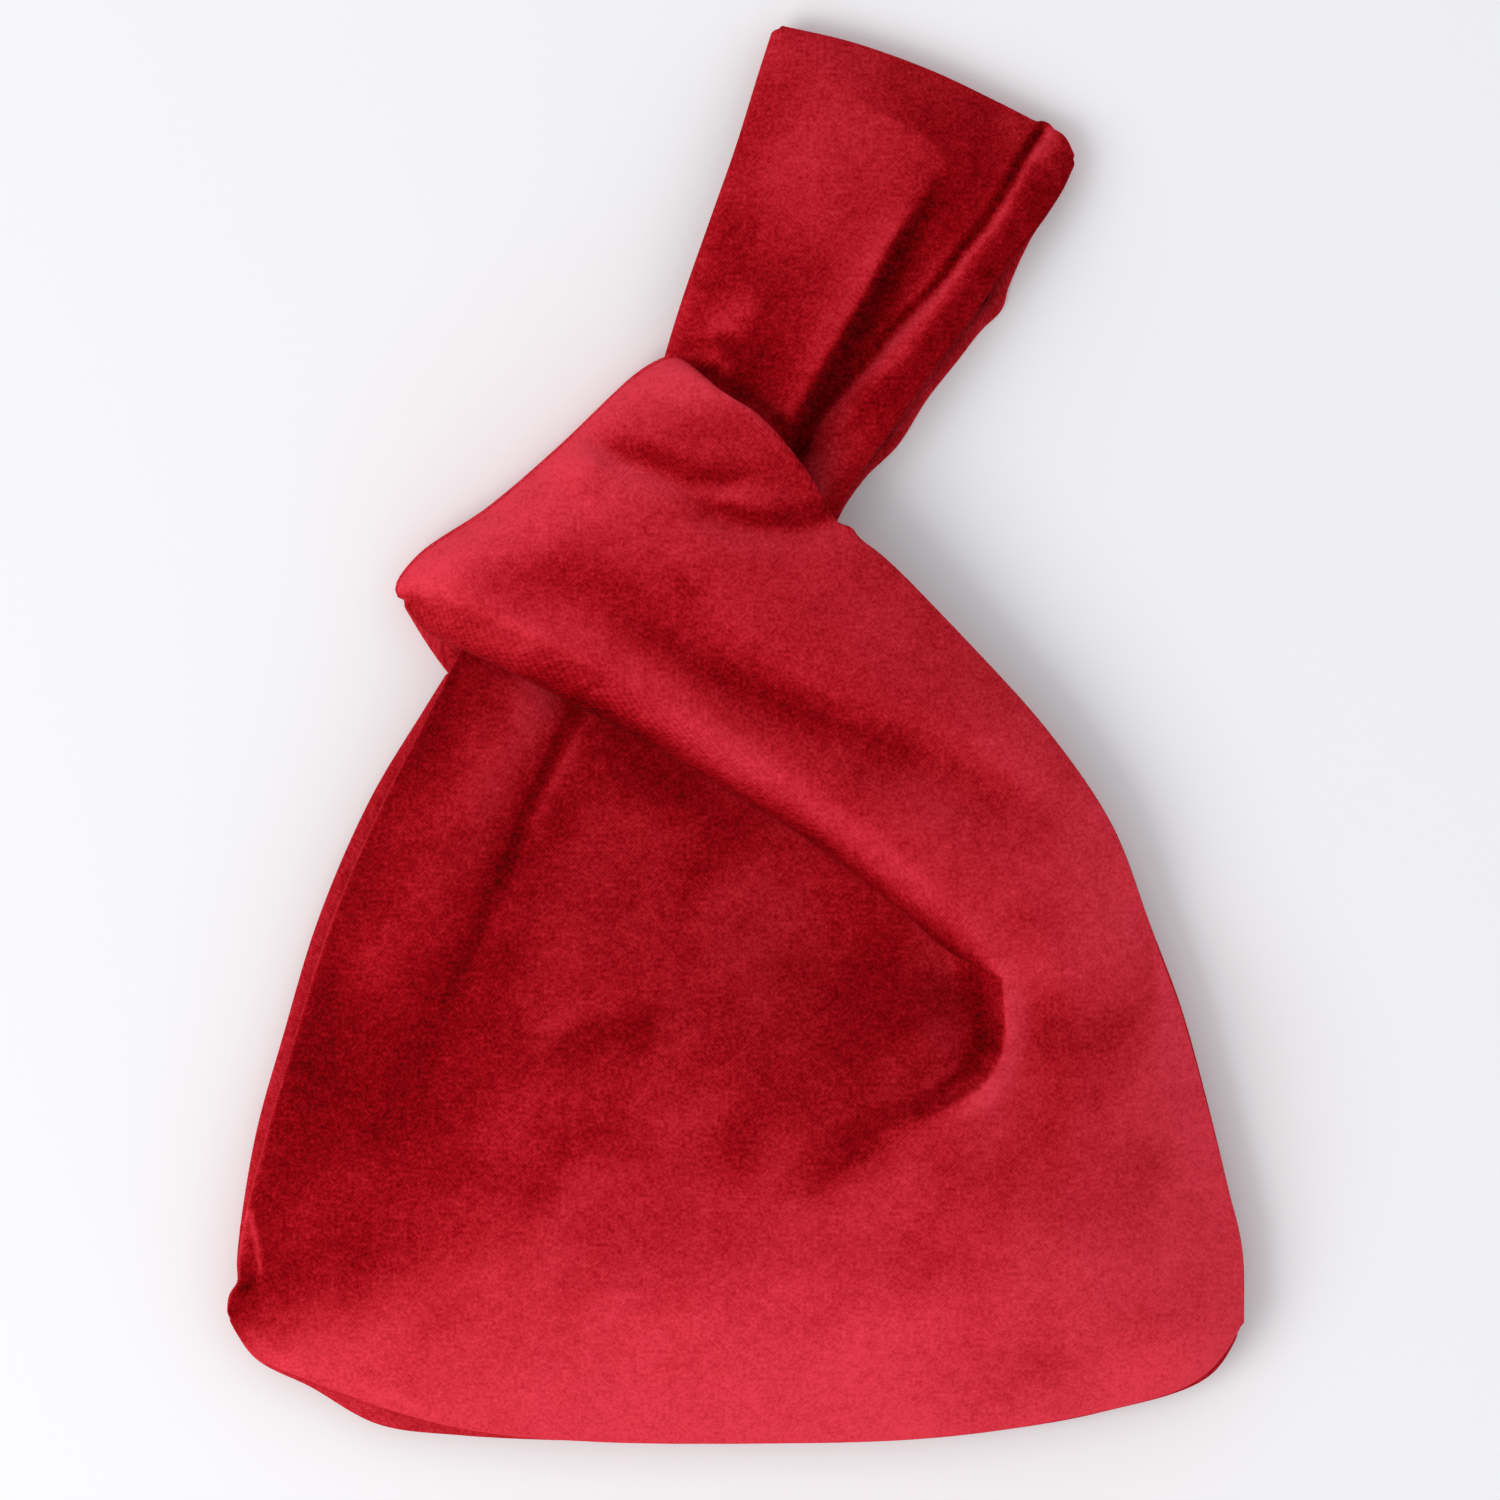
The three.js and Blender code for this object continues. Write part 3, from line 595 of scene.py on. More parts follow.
# Small dents all over the belly, each with its place, reach, height and painted shade, and two of these steps
# long
DENT = np.array([18, -12])
dents = [((829, 1148), 6, -0.8, -0.22), ((1115, 1180), 12, -0.5, -0.12), ((1150, 1304), 7, -0.5, -0.1),
         ((1000, 1368), 9, -0.6, -0.14), ((1090, 1350), 9, -0.3, -0.1), ((700, 1150), 8, -0.3, -0.09),
         ((650, 1230), 9, -0.3, -0.09), ((420, 1180), 10, -0.4, -0.05), ((400, 1040), 12, -0.4, -0.04),
         ((340, 1275), 9, -0.3, -0.08)]
for spot, reach, height, nap in dents:
    fold(front, [spot - DENT, spot, spot + DENT], height, reach, reach, fade_in=0, fade_out=0, nap=nap)
front_shades = [
    # Shade under the roll
    ([(610, 735), (700, 800), (800, 862), (880, 915), (930, 960)], 6, 9, -0.14),
    ([(616, 742), (690, 792)], 4, 6, -0.18),
    ([(700, 880), (800, 900), (880, 945)], 9, 9, -0.08),
    # Painted shade on the pleat's sides and painted highlights on its crests
    ([(556, 690), (530, 740), (495, 810), (450, 930), (400, 1040)], 4, 6, -0.12),
    ([(562, 800), (520, 960)], 4, 4, -0.1),
    ([(594, 705), (566, 754), (540, 805), (512, 876)], 3, 3, 0.14),
    ([(562, 745), (530, 815)], 2.4, 2.4, 0.2),
    ([(525, 690)], 4, 4, 0.12),
    ([(500, 720)], 8, 8, 0.08),
    ([(450, 730), (395, 835), (355, 930), (320, 1030)], 7, 7, 0.22),
    ([(430, 830), (370, 930), (330, 1040)], 14, 14, 0.04),
    # The left side, with a painted thread of light and painted shade in a notch above the corner
    ([(300, 1050), (272, 1150), (258, 1215)], 4, 4, 0.14),
    ([(241, 1195), (243, 1235), (248, 1272)], 2.2, 2.2, 0.3),
    ([(247, 1190), (254, 1225), (260, 1255), (262, 1285)], 0.7, 0.7, 0.4),
    ([(232, 1290), (246, 1286), (260, 1280)], 1.2, 1.2, -0.5),
    ([(240, 1320)], 4, 4, -0.06),
    # Painted light along the bottom and the right side
    ([(240, 1335), (270, 1362), (330, 1380), (400, 1405), (480, 1430)], 3, 3, 0.14),
    ([(480, 1430), (600, 1438), (750, 1440), (900, 1437), (1050, 1422), (1160, 1395)], 2.4, 2.4, 0.03),
    ([(1235, 1290), (1222, 1190), (1195, 1070), (1165, 975), (1140, 900)], 4, 4, 0.1),
    # Broad patches on the belly
    ([(900, 1340), (1010, 1370), (1130, 1345)], 16, 16, -0.13),
    ([(1050, 1330)], 14, 14, -0.08),
    ([(1140, 1170)], 8, 8, -0.12),
    ([(350, 1100)], 12, 12, -0.1),
    ([(600, 960)], 16, 16, 0.05),
    ([(665, 1090)], 8, 8, 0.06),
    ([(470, 1240)], 14, 14, 0.08),
    ([(380, 1335)], 11, 11, 0.08),
    ([(290, 1240)], 13, 13, 0.05),
]
shaded(front, front_shades)
crumple(front)

COLLAR_CROWN = 5
ridge = edge([(404, 600, 9.5), (435, 606, 15), (472, 616, 18.5), (533, 644, 22), (584, 670, 24.5),
              (666, 713, 27), (737, 756, 28), (819, 805, 29), (890, 858, 30), (941, 899, 30.2),
              (982, 940, 28.8), (1000, 975, 27)])
mouth_and_arm = edge([(692, 366, 11.5), (701, 375, 16), (716, 389, 20), (743, 409, 23), (783, 455, 24),
                      (809, 493, 22.5), (828, 521, 21), (881, 560, 18), (971, 650, 16), (1051, 740, 15),
                      (1111, 830, 13.8), (1149, 932, 12.4)])
handle_fold = edge([(404, 600, 9.5), (399, 588, 9.5), (420, 558, 9.5), (490, 510, 9.5), (560, 450, 9.5),
                    (640, 375, 9.8), (676, 358, 10.5), (692, 366, 11.5)])
COLLAR_COLUMNS = 150
collar_u, collar_v = gathered(COLLAR_COLUMNS), np.linspace(0, 1, SLIT_COLUMNS + 1)
collar = cut(stretched(ridge, mouth_and_arm, handle_fold, slit_to_side, collar_u, collar_v))
collar[..., 2] += COLLAR_CROWN * MM * fullness(collar_u, collar_v, left=0.17, right=0.5, start=0.5, end=0.45,
                                               level="right")
hollow(collar)
# The long valley beside the roll, then two creases and a small crest that run in from the handle's fold:
# painted shade in the valley and creases, a painted highlight on the crest
long_valley = [(450, 580), (560, 600), (686, 645), (737, 683), (814, 727), (890, 759), (992, 803),
               (1060, 835)]
upper_crease = [(578, 432), (612, 452), (645, 468), (701, 487), (739, 486), (772, 474)]
lower_crease = [(660, 492), (701, 510), (731, 523), (765, 530), (804, 528), (830, 521)]
small_crest = [(560, 480), (577, 467), (600, 446)]
fold(collar, long_valley, -3.4, left=8, right=8, nap=-0.08)
fold(collar, upper_crease, -1.9, left=3, right=3.2, fade_in=0.12, nap=-0.12)
fold(collar, lower_crease, -2.1, left=2.6, right=4, fade_out=0, nap=-0.08)
fold(collar, small_crest, 1.4, left=5, right=5, nap=0.12)
collar_shades = [
    # The roll's lit crest and the valley's shade
    ([(400, 598), (450, 612), (520, 640), (600, 680)], 3, 3, 0.14),
    ([(600, 678), (666, 713), (737, 756), (819, 805), (890, 858), (941, 899), (985, 942)], 2.4, 2.4, 0.16),
    ([(640, 690), (740, 745), (840, 797)], 2.5, 2.5, 0.08),
    ([(430, 585), (480, 612), (560, 645)], 4, 4, 0.1),
    ([(550, 596), (640, 636), (700, 665), (760, 693), (840, 727), (940, 762), (1030, 800)], 4, 4, -0.26),
    ([(960, 765), (1050, 830)], 4, 4, -0.1),
    # Painted shade by the handle's fold and in its creases, and a painted highlight on the crest
    ([(430, 572), (500, 525), (560, 485)], 7, 7, -0.14),
    ([(560, 410), (620, 400), (690, 430), (750, 465)], 12, 12, -0.17),
    ([(540, 520)], 14, 14, -0.16),
    ([(618, 440)], 8, 8, -0.2),
    ([(640, 415)], 7, 7, -0.16),
    ([(588, 436), (630, 462)], 4, 1.4, -0.16),
    ([(540, 492), (600, 480)], 4, 4, -0.12),
    ([(572, 458)], 4, 4, 0.12),
    # The middle and the right end
    ([(636, 552), (664, 566), (690, 592), (715, 600)], 2, 2.4, -0.12),
    ([(700, 605)], 8, 8, 0.08),
    ([(850, 795), (920, 815), (1000, 850)], 7, 7, 0.1),
    ([(940, 700), (1030, 800), (1090, 880)], 14, 14, 0.12),
]
shaded(collar, collar_shades)
crumple(collar)

# Painted light and shade by slope: the lit way is one way on the pouch and turns along the short handle, up
# to its fold
front_lit_way, collar_lit_way = np.array([0.7, -0.7]), np.array([-0.6, 0.9])
SLOPE_SHADE_TOP, SLOPE_SHADE_BACK = 1.0, 0.4
from_fold = swell(collar_u, 1)[None, :, None]
turning_lit_way = from_fold * front_lit_way + (1 - from_fold) * collar_lit_way
front, collar = brushed(front, front_lit_way, SLOPE_SHADE_TOP), brushed(collar, turning_lit_way, SLOPE_SHADE_TOP)

# The roll is a hem that is as wide and deep as the short handle is full, and thin at both its ends
roll_out = eased(7.2, start=0.17, end=0.16, least=0.3)
roll_down = eased(14, start=0.15, end=0.16, least=0.6)
# The roll's underside is painted darker as it turns under, painted shade, more so from the handle's fold
# towards the slit
roll_nap = -0.12 - 0.36 * swell(collar_u, 0.5)[:, None]
# Round the slit the two halves of the cloth lie smooth
slit_line = [(1020, 975), (1060, 968), (1100, 956), (1135, 940)]
SLIT_REACH, SLIT_ROUNDS = 5, 24
# The front's hems at the bottom and on the left are painted lighter, the left most: a painted sheen on the
# rims
sewn("front_velvet", [
    front,
    *(hem(front, side, eased(1.7, end=end), eased(2.4, end=end), nap=nap)
      for side, end, nap in (("start", 0.02, 0.05), ("left", 0.02, 0.45), ("right", 0, 0))),
    collar,
    hem(collar, "start", roll_out, roll_down, turn=150, tuck=5, steps=18, upright=True, nap=roll_nap),
    hem(collar, "left", eased(2.1), eased(3.4), turn=170, tuck=6, steps=8),
    hem(collar, "end", eased(1.7, 0.06, 0), eased(2.4, 0.06, 0), turn=120, tuck=1.5),
], "pouch", ["outer_front_panel", "short_handle_front_strap"], *VELVET,
    smoothed=(slit_line, SLIT_REACH, SLIT_ROUNDS))


# Back cloth: velvet cut like the front and lying on the table, so it is flat in the middle and curls up to
# the side seams. Its right half runs up into the back of the short handle, which passes under the long one.
back_bottom = edge([(231, 1318, 6.4), (258, 1356, 6.4), (312, 1384, 6), (378, 1421, 5.6), (460, 1432, 5.8),
                    (600, 1438, 6), (750, 1440, 6), (900, 1437, 6), (1000, 1427, 6), (1100, 1409, 6.2),
                    (1206, 1374, 6.8), (1240, 1325, 7.2)])
back_left = edge([(231, 1318, 6.4), (233, 1300, 6.6), (241, 1284, 6.7), (241, 1262, 6.8),
                  (246, 1215, 6.6), (261, 1130, 6.4), (286, 1040, 5.6), (322, 920, 4.6), (374, 800, 4),
                  (427, 712, 4), (452, 672, 4.6)])
back_right = edge([(1240, 1325, 7.2), (1238, 1250, 7.6), (1224, 1190, 8), (1202, 1100, 8.2),
                   (1177, 1010, 8.4), (1148, 932, 8.6)])
over_back_strap = edge([(452, 672, 4.6), (556, 793, 4.8), (756, 933, 4.2), (900, 990, 2.4), (985, 1018, 1)])
back_slit_to_side = edge([(985, 1018, 1), (1070, 980, 2.4), (1148, 932, 8.6)])


def back_top(share):
    """The top edge of the back, in its two parts."""
    return np.where((share < SLIT_END)[:, None], over_back_strap(share / SLIT_END),
                    back_slit_to_side((share - SLIT_END) / (1 - SLIT_END)))


def laid(edges, u, v, **rises):
    """Cloth that lies on the table and curls up to its edges."""
    cloth = cut(stretched(*edges, u, v))
    cloth[..., 2] = np.maximum(cloth[..., 2] * (1 - fullness(u, v, **rises)), SKIN)
    return cloth


back = laid((back_bottom, back_top, back_left, back_right), pouch_u, pouch_v,
            left=0.16, right=0.16, start=0.16, end=0.06)
back_roll = edge([(404, 600, 5.5), (425, 636, 3.6), (443, 662, 1.4), (474, 700, .6), (560, 785, .3),
                  (650, 860, .3), (760, 925, .3), (860, 978, .3), (985, 1018, 1)])
back_outer = edge([(680, 357, 6), (696, 368, 3.6), (720, 386, 1.6), (750, 402, .6), (800, 462, .3),
                   (830, 520, .3), (881, 560, .3), (971, 650, .3), (1051, 740, 1), (1111, 830, 4),
                   (1148, 932, 8.6)])
back_fold = edge([(404, 600, 5.5), (399, 588, 5.5), (420, 558, 5.5), (490, 510, 5.5), (560, 450, 5.5),
                  (640, 375, 5.5), (662, 362, 5.6), (680, 357, 6)])
back_strap = laid((back_roll, back_outer, back_fold, back_slit_to_side), collar_u, collar_v,
                  left=0.1, right=0.3)
# The back cloths are painted lighter and darker by slope too, as painted light and shade, more faintly
back, back_strap = brushed(back, front_lit_way, SLOPE_SHADE_BACK), brushed(back_strap, front_lit_way, SLOPE_SHADE_BACK)
# The back's hems are painted lighter at the bottom and on the right and darker on the left: painted light and
# shade on the turned edges
sewn("back_velvet", [
    back,
    *(hem(back, side, eased(1.0, end=end), eased(2.0, end=end), turn=165, tuck=5, steps=7, outside=-1,
          upright=True, nap=nap)
      for side, end, nap in (("start", 0.02, 0.2), ("left", 0.02, -0.12), ("right", 0, 0.1))),
    back_strap,
    hem(back_strap, "start", eased(0.8), eased(2.0), turn=175, tuck=10, outside=-1, upright=True),
    hem(back_strap, "end", eased(1.0, end=0), eased(2.0, end=0), turn=100, tuck=1, outside=-1, upright=True),
    hem(back_strap, "left", eased(1.0), eased(2.0), tuck=2, outside=-1, upright=True),
], "pouch", ["outer_back_panel", "short_handle_back_strap"], *VELVET, outside=-1)


# Long handle: two limbs of the same velvets that grow out of the pouch's left half, go through the short
# handle and come out as the wrist loop. Inside the knot they slide when the knot is drawn up.
KNOT_START, KNOT_END = (560, 740, 12), (690, 520, 12)
ROOT_BEND = ("pouch", "handle_neck", *spots([KNOT_START, KNOT_END]))
ROOT_LINES = 60
root_lines = gathered(ROOT_LINES)
root_base = edge([(480, 640, 7), (547, 662, 9.5), (605, 697, 12), (703, 759, 15), (784, 807, 17),
                  (882, 872, 19.5), (940, 915, 21), (972, 950, 22)])
root_tip = edge([(668, 462, 12), (720, 462, 17.5), (775, 490, 19.5), (826, 545, 15)])
root_left = edge([(480, 640, 7), (500, 612, 9), (530, 585, 10), (580, 555, 11), (640, 500, 11.5),
                  (668, 462, 12)])
root_right = edge([(972, 950, 22), (952, 890, 21), (920, 800, 19), (850, 700, 17), (824, 620, 16),
                   (826, 545, 15)])
root_front = cut(stretched(root_base, root_tip, root_left, root_right, root_lines, root_lines))
back_root_base = edge([(458, 672, 3.2), (565, 785, 3), (765, 925, 3), (972, 1004, 2.4)])
back_root_tip = edge([(668, 462, 4), (720, 462, 4.2), (775, 490, 4.2), (826, 545, 4)])
back_root_left = edge([(458, 672, 3.2), (449, 645, 3.2), (454, 610, 3.6), (500, 560, 4), (580, 500, 4),
                       (668, 462, 4)])
back_root_right = edge([(972, 1004, 2.4), (952, 900, 4), (920, 800, 4), (850, 700, 4), (824, 620, 4),
                        (826, 545, 4)])
root_back = cut(stretched(back_root_base, back_root_tip, back_root_left, back_root_right,
                          root_lines, root_lines))
# The root of the long handle is painted lighter and darker by slope, as painted light and shade
root_front = brushed(root_front, front_lit_way, SLOPE_SHADE_TOP)
sewn("long_handle_front_velvet", [
    root_front,
    *(hem(root_front, side, eased(1.1), eased(2.2), turn=170, tuck=3) for side in ("left", "right")),
], ROOT_BEND, ["long_handle_front_root"], *VELVET)
sewn("long_handle_back_velvet", [
    root_back,
    *(hem(root_back, side, eased(1.1), eased(2.2), turn=170, tuck=3, outside=-1, upright=True)
      for side in ("left", "right")),
], ROOT_BEND, ["long_handle_back_root"], *VELVET, outside=-1)


# Wrist loop: the end of the long handle past the short handle's mouth, of velvet front and back. The knot
# gathers it into a deep pleat, and its right edge is a turned hem that shows as a narrow roll beside the
# seam.
hinge = next(joint for joint in frame["record"]["behaviour"]["joints"] if joint["name"] == "wrist_loop_swing")
hinge_place = np.array(hinge["pos_m"])
outwards = np.array([-hinge["axis"][1], hinge["axis"][0], 0])
BEND_INNER, BEND_OUTER = 9 * MM, 12 * MM
LOOP_BEND = ("handle_neck", "wrist_loop",
             hinge_place - BEND_INNER * outwards, hinge_place + BEND_OUTER * outwards)
LOOP_TOP = [(779, 27), (850, 43), (930, 71), (1000, 104), (1045, 127), (1062, 135), (1074, 157)]
LOOP_TOP_FRONT, LOOP_TOP_BACK = 6.8, 4.2
LOOP_COLUMNS, LOOP_ROWS = 110, 140
loop_u, loop_v = gathered(LOOP_COLUMNS), gathered(LOOP_ROWS)
loop_base = edge([(632, 470, 10.5), (700, 462, 15), (775, 490, 17.5), (824, 560, 14.5)])
loop_end = edge([(*place, LOOP_TOP_FRONT) for place in LOOP_TOP])
loop_left = edge([(632, 470, 10.5), (650, 420, 10), (668, 358, 9.5), (690, 290, 11.5), (715, 220, 11.5),
                  (740, 150, 11), (765, 70, 9), (779, 27, LOOP_TOP_FRONT)])
loop_right = edge([(824, 560, 14.5), (832, 520, 15), (846, 485, 15), (870, 450, 15), (898, 413, 15),
                   (923, 377, 14.5), (946, 346, 14), (973, 309, 13.5), (1000, 268, 13), (1020, 243, 12.5),
                   (1040, 216, 12), (1060, 186, 10), (1074, 157, LOOP_TOP_FRONT)])
loop_front = cut(stretched(loop_base, loop_end, loop_left, loop_right, loop_u, loop_v))
LOOP_CROWN = 3.5
loop_front[..., 2] += LOOP_CROWN * MM * fullness(loop_u, loop_v, left=0.5, right=0.5, start=0.4, end=0.35)
# The deep pleat, painted dark as shade, and a smaller one beside it
deep_pleat = [(781, 480), (799, 446), (837, 374), (871, 318), (909, 246), (934, 205), (950, 165)]
small_pleat = [(718, 378), (792, 438)]
fold(loop_front, deep_pleat, -8, left=1.7, right=7.5, fade_in=0, fade_out=0.5, nap=-0.42)
fold(loop_front, small_pleat, -1.8, left=2.2, right=4, fade_in=0, fade_out=0)
# The seam with the puckers of its stitches, painted darker as shade, and the narrow roll beside it, painted a
# little darker too
loop_seam = [(1043, 131), (1027, 155), (1009, 188), (986, 225), (964, 252), (937, 288), (898, 327),
             (867, 363), (833, 398), (810, 430), (798, 462)]
narrow_roll = [(1050, 160), (1019, 205), (958, 288), (922, 330), (869, 390), (815, 460)]
PUCKERS, PUCKER_HALF = 34, np.array([2, 1])
fold(loop_front, loop_seam, -1.4, left=1.2, right=1.2, fade_in=0, fade_out=0, nap=-0.3)
for stitch in along(np.array(loop_seam, float), np.linspace(0.02, 0.98, PUCKERS)):
    fold(loop_front, [stitch - PUCKER_HALF, stitch + PUCKER_HALF], -0.4, left=0.6, right=0.6,
         fade_in=0, fade_out=0, nap=-0.12)
fold(loop_front, narrow_roll, 0.8, left=3, right=3, fade_in=0.2, fade_out=0.1, nap=-0.16)
# Two small crests where the left edge comes out of the knot, painted lighter as highlights
lower_crest = [(712, 340), (722, 362), (730, 392)]
upper_crest = [(722, 330), (737, 318), (752, 312)]
fold(loop_front, lower_crest, 1.2, left=2.5, right=3, fade_in=0, fade_out=0, nap=0.1)
fold(loop_front, upper_crest, 1.0, left=3.5, right=3.5, fade_in=0, fade_out=0, nap=0.1)
# The whole loop lies a little darker than the pouch
LOOP_SHADE = 0.1
loop_front[..., NAP_AND_SHADE] -= LOOP_SHADE
loop_shades = [
    # The pleat: its shade, its lit side, and the crease that turns off at its upper end
    ([(784, 430), (822, 362), (856, 305), (892, 236), (915, 190)], 5, 1.4, 0.22),
    ([(805, 425), (845, 365), (900, 300), (950, 235), (1000, 155)], 4, 2.5, -0.22),
    ([(944, 185), (856, 346)], 2.2, 2.2, -0.16),
    ([(880, 262), (922, 224), (946, 198), (949, 170), (930, 138), (885, 112), (830, 90)], 0.8, 8, -0.2),
    ([(985, 105), (985, 175)], 3.5, 3.5, -0.14),
    ([(780, 425), (800, 440)], 2, 2, -0.4),
    ([(770, 345)], 9, 9, -0.3),
    ([(790, 275)], 7, 6, -0.2),
    # Painted highlight and shade on the narrow roll beside the seam
    ([(826, 440), (885, 375), (953, 295), (1004, 228), (1044, 160)], 1.6, 2.4, 0.2),
    ([(1032, 168), (1014, 200)], 1.6, 1.6, -0.2),
    ([(1058, 152)], 4, 4, 0.14),
    ([(878, 398)], 4, 4, -0.24),
    # Painted shade along the left edge and where it comes out of the knot, with painted highlights on what
    # gathers there
    ([(688, 365), (705, 290), (735, 190), (765, 90), (786, 36)], 4, 8, -0.22),
    ([(720, 260)], 9, 8, -0.14),
    ([(755, 225)], 7, 7, -0.1),
    ([(735, 296)], 6, 6, -0.16),
    ([(700, 332), (730, 330), (754, 342)], 2, 2, 0.16),
    ([(740, 325)], 3, 3, 0.14),
    ([(693, 346)], 4.5, 4.5, -0.45),
    ([(700, 370), (735, 396)], 1.6, 1.6, -0.3),
    ([(745, 385)], 8, 8, -0.3),
    # The top
    ([(870, 55), (940, 85), (1000, 115)], 4, 6, -0.08),
    ([(830, 160)], 16, 16, 0.04),
]
shaded(loop_front, loop_shades)
back_loop_base = edge([(632, 470, 4), (700, 462, 4), (775, 490, 4), (826, 560, 4)])
back_loop_end = edge([(*place, LOOP_TOP_BACK) for place in LOOP_TOP])
back_loop_left = edge([(632, 470, 4), (650, 420, 4), (670, 358, 4), (693, 290, 1.2), (718, 220, .4),
                       (743, 150, .4), (768, 70, 2), (779, 27, LOOP_TOP_BACK)])
back_loop_right = edge([(826, 560, 4), (834, 519, 4), (862, 475, 3), (895, 442, 2), (925, 395, 1.4),
                        (955, 357, 1), (980, 325, 1), (1000, 305, 1), (1006, 285, 1), (1020, 252, 1),
                        (1035, 224, 1.2), (1042, 215, 1.4), (1060, 186, 2.6), (1074, 157, LOOP_TOP_BACK)])
loop_back = cut(stretched(back_loop_base, back_loop_end, back_loop_left, back_loop_right, loop_u, loop_v))
LOOP_SINK = 0.8
lowered = 1 - LOOP_SINK * fullness(loop_u, loop_v, start=0.5, end=0.12)
loop_back[..., 2] = np.maximum(loop_back[..., 2] * lowered, SKIN)
# The loop is painted lighter and darker by slope, as painted light and shade, its back more faintly
loop_lit_way = np.array([-0.6, 0.4])
loop_front = brushed(loop_front, loop_lit_way, SLOPE_SHADE_TOP)
loop_back = brushed(loop_back, loop_lit_way, SLOPE_SHADE_BACK)
sewn("wrist_loop_front_velvet", [
    loop_front,
    *(hem(loop_front, side, eased(1.5), eased(2.4), turn=170, tuck=3) for side in ("left", "right")),
    hem(loop_front, "end", eased(1.3), eased(2), tuck=2),
], LOOP_BEND, ["long_handle_front_neck", "wrist_loop_front_strap"], *VELVET)
sewn("wrist_loop_back_velvet", [
    loop_back,
    *(hem(loop_back, side, eased(0.8), eased(1.8), turn=170, tuck=3, outside=-1, upright=True)
      for side in ("left", "right")),
    hem(loop_back, "end", eased(0.7), eased(1.6), tuck=1, outside=-1, upright=True),
], LOOP_BEND, ["long_handle_back_neck", "wrist_loop_back_strap"], *VELVET, outside=-1)


# Seams: the turned-in edges of the cloths, pressed flat inside the bag and sewn through with matching
# thread. They hold the front to the back down both sides, along the bottom, round the two bottom
# corners, across the short handle's fold and along the top of the wrist loop.
WEAVE_SCALE = 1100.0


def mottled(name, dark, bright, scale, roughness, thread=None):
    """A plain woven cloth in two close shades, and the thread it is sewn with."""
    material = bpy.data.materials.new(name)
    material.use_nodes = True
    nodes = material.node_tree.nodes
    shader = nodes["Principled BSDF"]
    cloth = wired(nodes, "ShaderNodeUVMap", uv_map="cloth")
    grain = wired(nodes, "ShaderNodeTexNoise", {"Vector": cloth.outputs["UV"], "Scale": scale, "Detail": 3.0})
    weave = wired(nodes, "ShaderNodeTexWave",
                  {"Vector": cloth.outputs["UV"], "Scale": WEAVE_SCALE, "Distortion": 0.8})
    share = reckoned(nodes, "MULTIPLY", grain.outputs["Fac"], weave.outputs["Fac"])

    # A mix node takes its share, first colour and second colour at inputs 0, 6 and 7, and gives output 2
    def mixed(share, first, second):
        return wired(nodes, "ShaderNodeMix", {0: share, 6: first, 7: second}, data_type="RGBA").outputs[2]

    shade = mixed(share, (*dark, 1), (*bright, 1))
    if thread:
        sewn_through = wired(nodes, "ShaderNodeAttribute", attribute_name="nap")
        shade = mixed(sewn_through.outputs["Fac"], shade, (*thread, 1))
    material.node_tree.links.new(shade, shader.inputs["Base Color"])
    shader.inputs["Roughness"].default_value = roughness
    shader.inputs["Specular IOR Level"].default_value = 0.08
    return material


turned_edge = mottled("turned_edge", (0.20, 0.003, 0.006), (0.34, 0.008, 0.016), 300.0, 0.85,
                      (0.42, 0.012, 0.022))
ALLOWANCE = ("seam", turned_edge, 1.2)
STITCH_STEP = 2.8
STITCH_RISE = 0.2
ENDS_KEPT = 0.03, 0.97


def seam(name, upper, lower, grid, across, up, moves, along_rows=True):
    """One seam's allowance, halfway between two cloths. grid is the shares of the cloths' own lines across
    and up. across and up are the shares between which the seam lies, and how many lines it is made of."""
    columns = np.searchsorted(grid[0], np.linspace(*across))
    rows = np.searchsorted(grid[1], np.linspace(*up))
    strip = (upper[np.ix_(rows, columns)] + lower[np.ix_(rows, columns)]) / 2
    strip[..., NAP_AND_SHADE] = 0
    spine = strip[:, strip.shape[1] // 2, PLACE] if along_rows else strip[strip.shape[0] // 2, :, PLACE]
    count = int(np.linalg.norm(np.diff(spine, axis=0), axis=1).sum() / (STITCH_STEP * MM))
    places = along(spine, np.linspace(*ENDS_KEPT, max(count, 2)))
    ways = np.gradient(places, axis=0)
    sewn(name.replace("seam", "allowance"), [strip], moves, [name], *ALLOWANCE,
         stitches=list(zip(places + (0, 0, STITCH_RISE * MM), ways)))


POUCH_GRID, COLLAR_GRID, LOOP_GRID = (pouch_u, pouch_v), (collar_u, collar_v), (loop_u, loop_v)
SEAM_NEAR, SEAM_FAR = 0.015, 0.047
CORNER_NEAR, CORNER_FAR = 0.028, 0.060
SIDE_START = 0.09
BREADTH_LINES, SIDE_LINES, BOTTOM_LINES, CORNER_LINES, HANDLE_LINES = 5, 60, 90, 8, 40
corner_up = (0.035, 0.080, CORNER_LINES)
seam("left_side_seam", front, back, POUCH_GRID, (SEAM_NEAR, SEAM_FAR, BREADTH_LINES),
     (SIDE_START, 0.5, SIDE_LINES), "pouch")
seam("right_side_seam", front, back, POUCH_GRID, (1 - SEAM_FAR, 1 - SEAM_NEAR, BREADTH_LINES),
     (SIDE_START, 0.9, SIDE_LINES), "pouch")
seam("bottom_seam", front, back, POUCH_GRID, (0.068, 0.932, BOTTOM_LINES), (0.02, 0.062, BREADTH_LINES),
     "pouch", along_rows=False)
seam("left_corner_seam", front, back, POUCH_GRID, (CORNER_NEAR, CORNER_FAR, CORNER_LINES), corner_up, "pouch")
seam("right_corner_seam", front, back, POUCH_GRID, (1 - CORNER_FAR, 1 - CORNER_NEAR, CORNER_LINES), corner_up,
     "pouch")
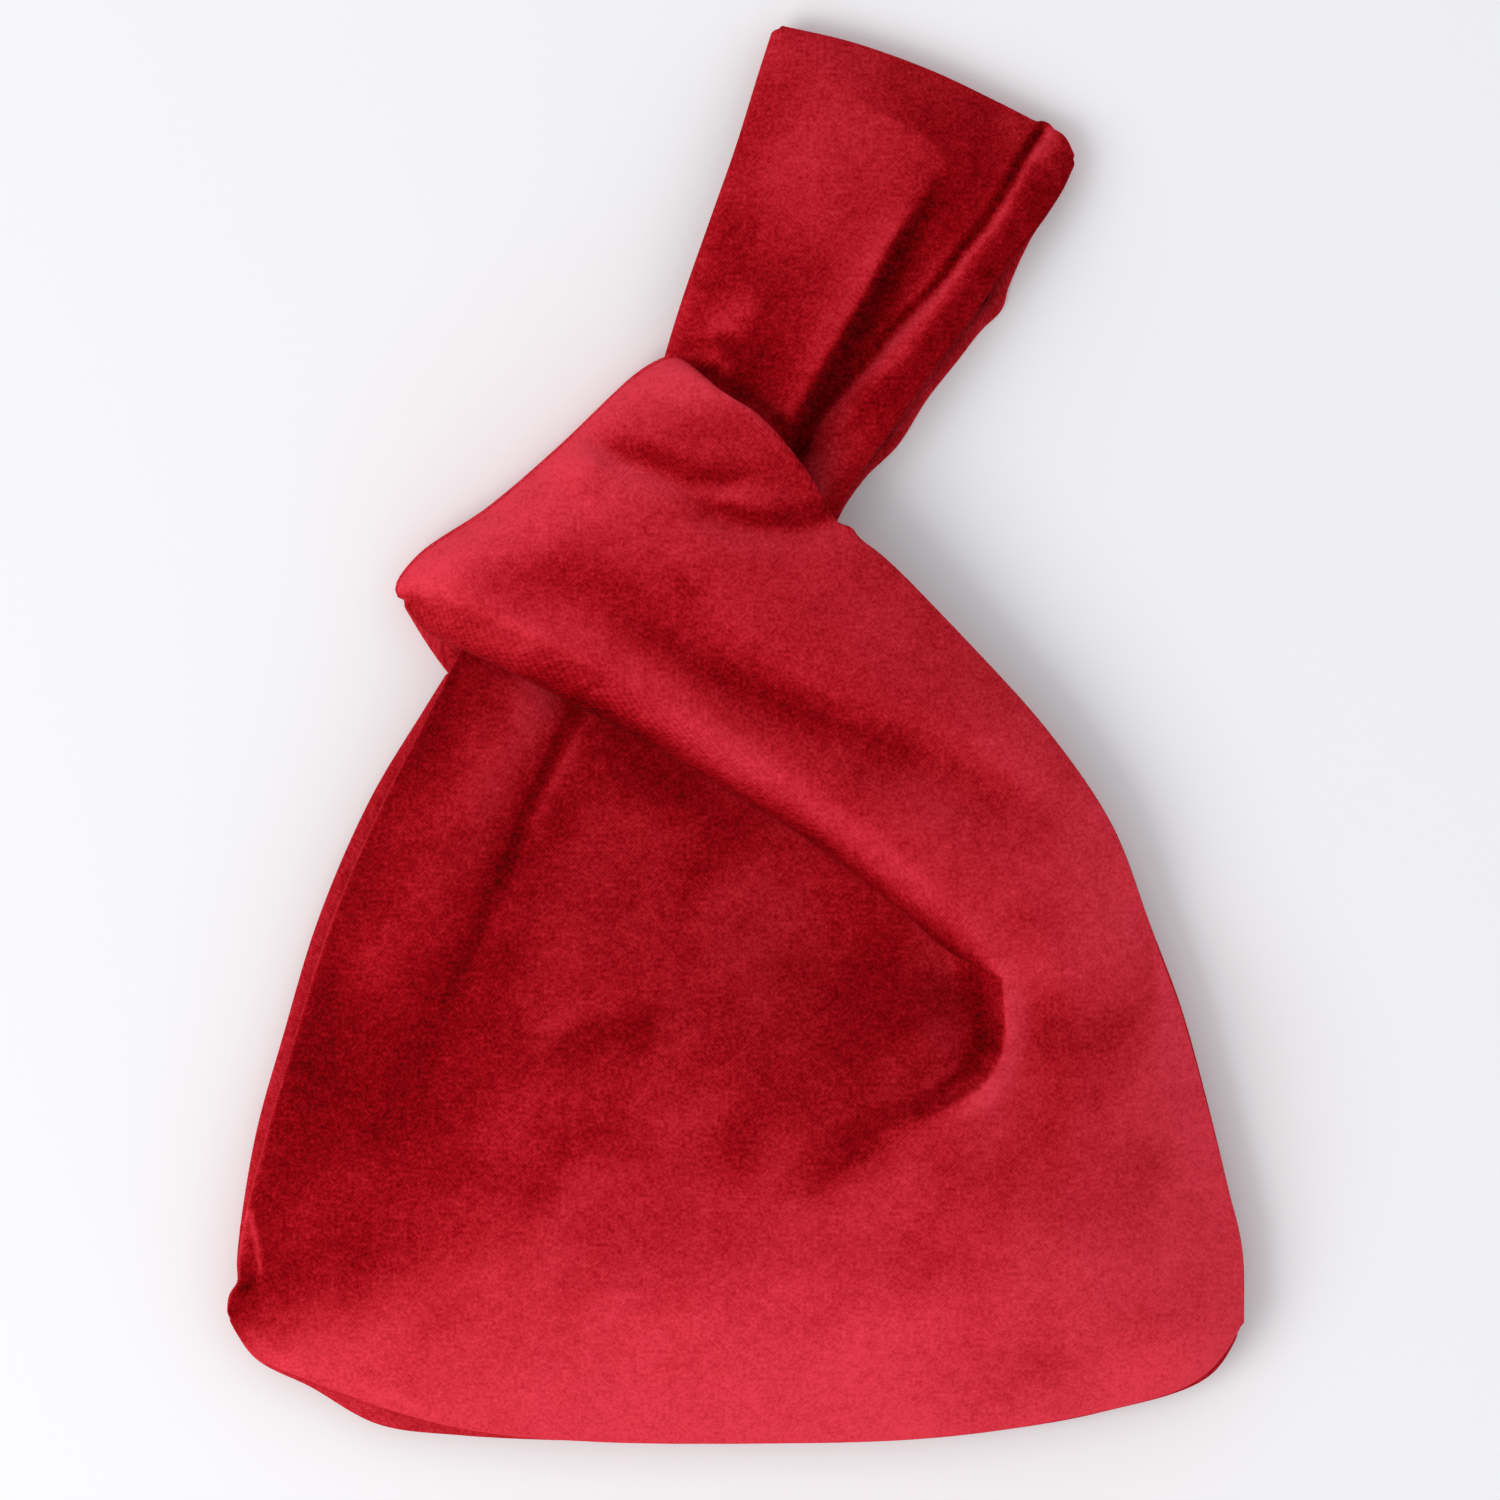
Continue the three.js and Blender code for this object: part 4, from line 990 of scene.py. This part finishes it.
seam("short_handle_join_seam", collar, back_strap, COLLAR_GRID, (0.02, 0.06, BREADTH_LINES),
     (0.2, 0.74, HANDLE_LINES), "pouch")
seam("wrist_loop_join_seam", loop_front, loop_back, LOOP_GRID, (0.2, 0.8, HANDLE_LINES),
     (0.9, 0.97, BREADTH_LINES), "wrist_loop", along_rows=False)


# Lining: dark red satin, cut like the velvets a little smaller and sewn inside them at the hems. It is seen
# only through the arm openings and the wrist loop.
LINING = ("lining", mottled("red_satin", (0.11, 0.0015, 0.004), (0.20, 0.003, 0.007), 60.0, 0.6), 0.4)
LINING_STEP = 1.9
# A lining ends three of its velvet's lines in from the edges and takes every second one
LINING_LINES = slice(3, -3, 2)


def lined(name, velvet, moves, nodes, side):
    """The lining behind a velvet: side is -1 where it lies below it and 1 above it."""
    inside = velvet.copy()
    inside[..., PLACE] += side * LINING_STEP * MM * directions(velvet[..., PLACE])
    sewn(name, [inside[LINING_LINES, LINING_LINES]], moves, nodes, *LINING, outside=side)


lined("front_satin", front, "pouch", ["lining_front_panel"], -1)
lined("back_satin", back, "pouch", ["lining_back_panel"], 1)
lined("short_handle_front_satin", collar, "pouch", ["short_handle_front_lining"], -1)
lined("short_handle_back_satin", back_strap, "pouch", ["short_handle_back_lining"], 1)
lined("long_handle_front_satin", root_front, ROOT_BEND, ["long_handle_front_root_lining"], -1)
lined("long_handle_back_satin", root_back, ROOT_BEND, ["long_handle_back_root_lining"], 1)
# The loop's linings start past the first lines, which are gathered in the knot, and keep clear of the cloth
# that lies against them there
PAST_THE_KNOT = slice(24, None)
FRONT_BREADTH, BACK_BREADTH = slice(16, -3), slice(9, -3)
lined("wrist_loop_front_satin", loop_front[PAST_THE_KNOT, FRONT_BREADTH], LOOP_BEND,
      ["long_handle_front_neck_lining", "wrist_loop_front_lining"], -1)
lined("wrist_loop_back_satin", loop_back[PAST_THE_KNOT, BACK_BREADTH], LOOP_BEND,
      ["long_handle_back_neck_lining", "wrist_loop_back_lining"], 1)
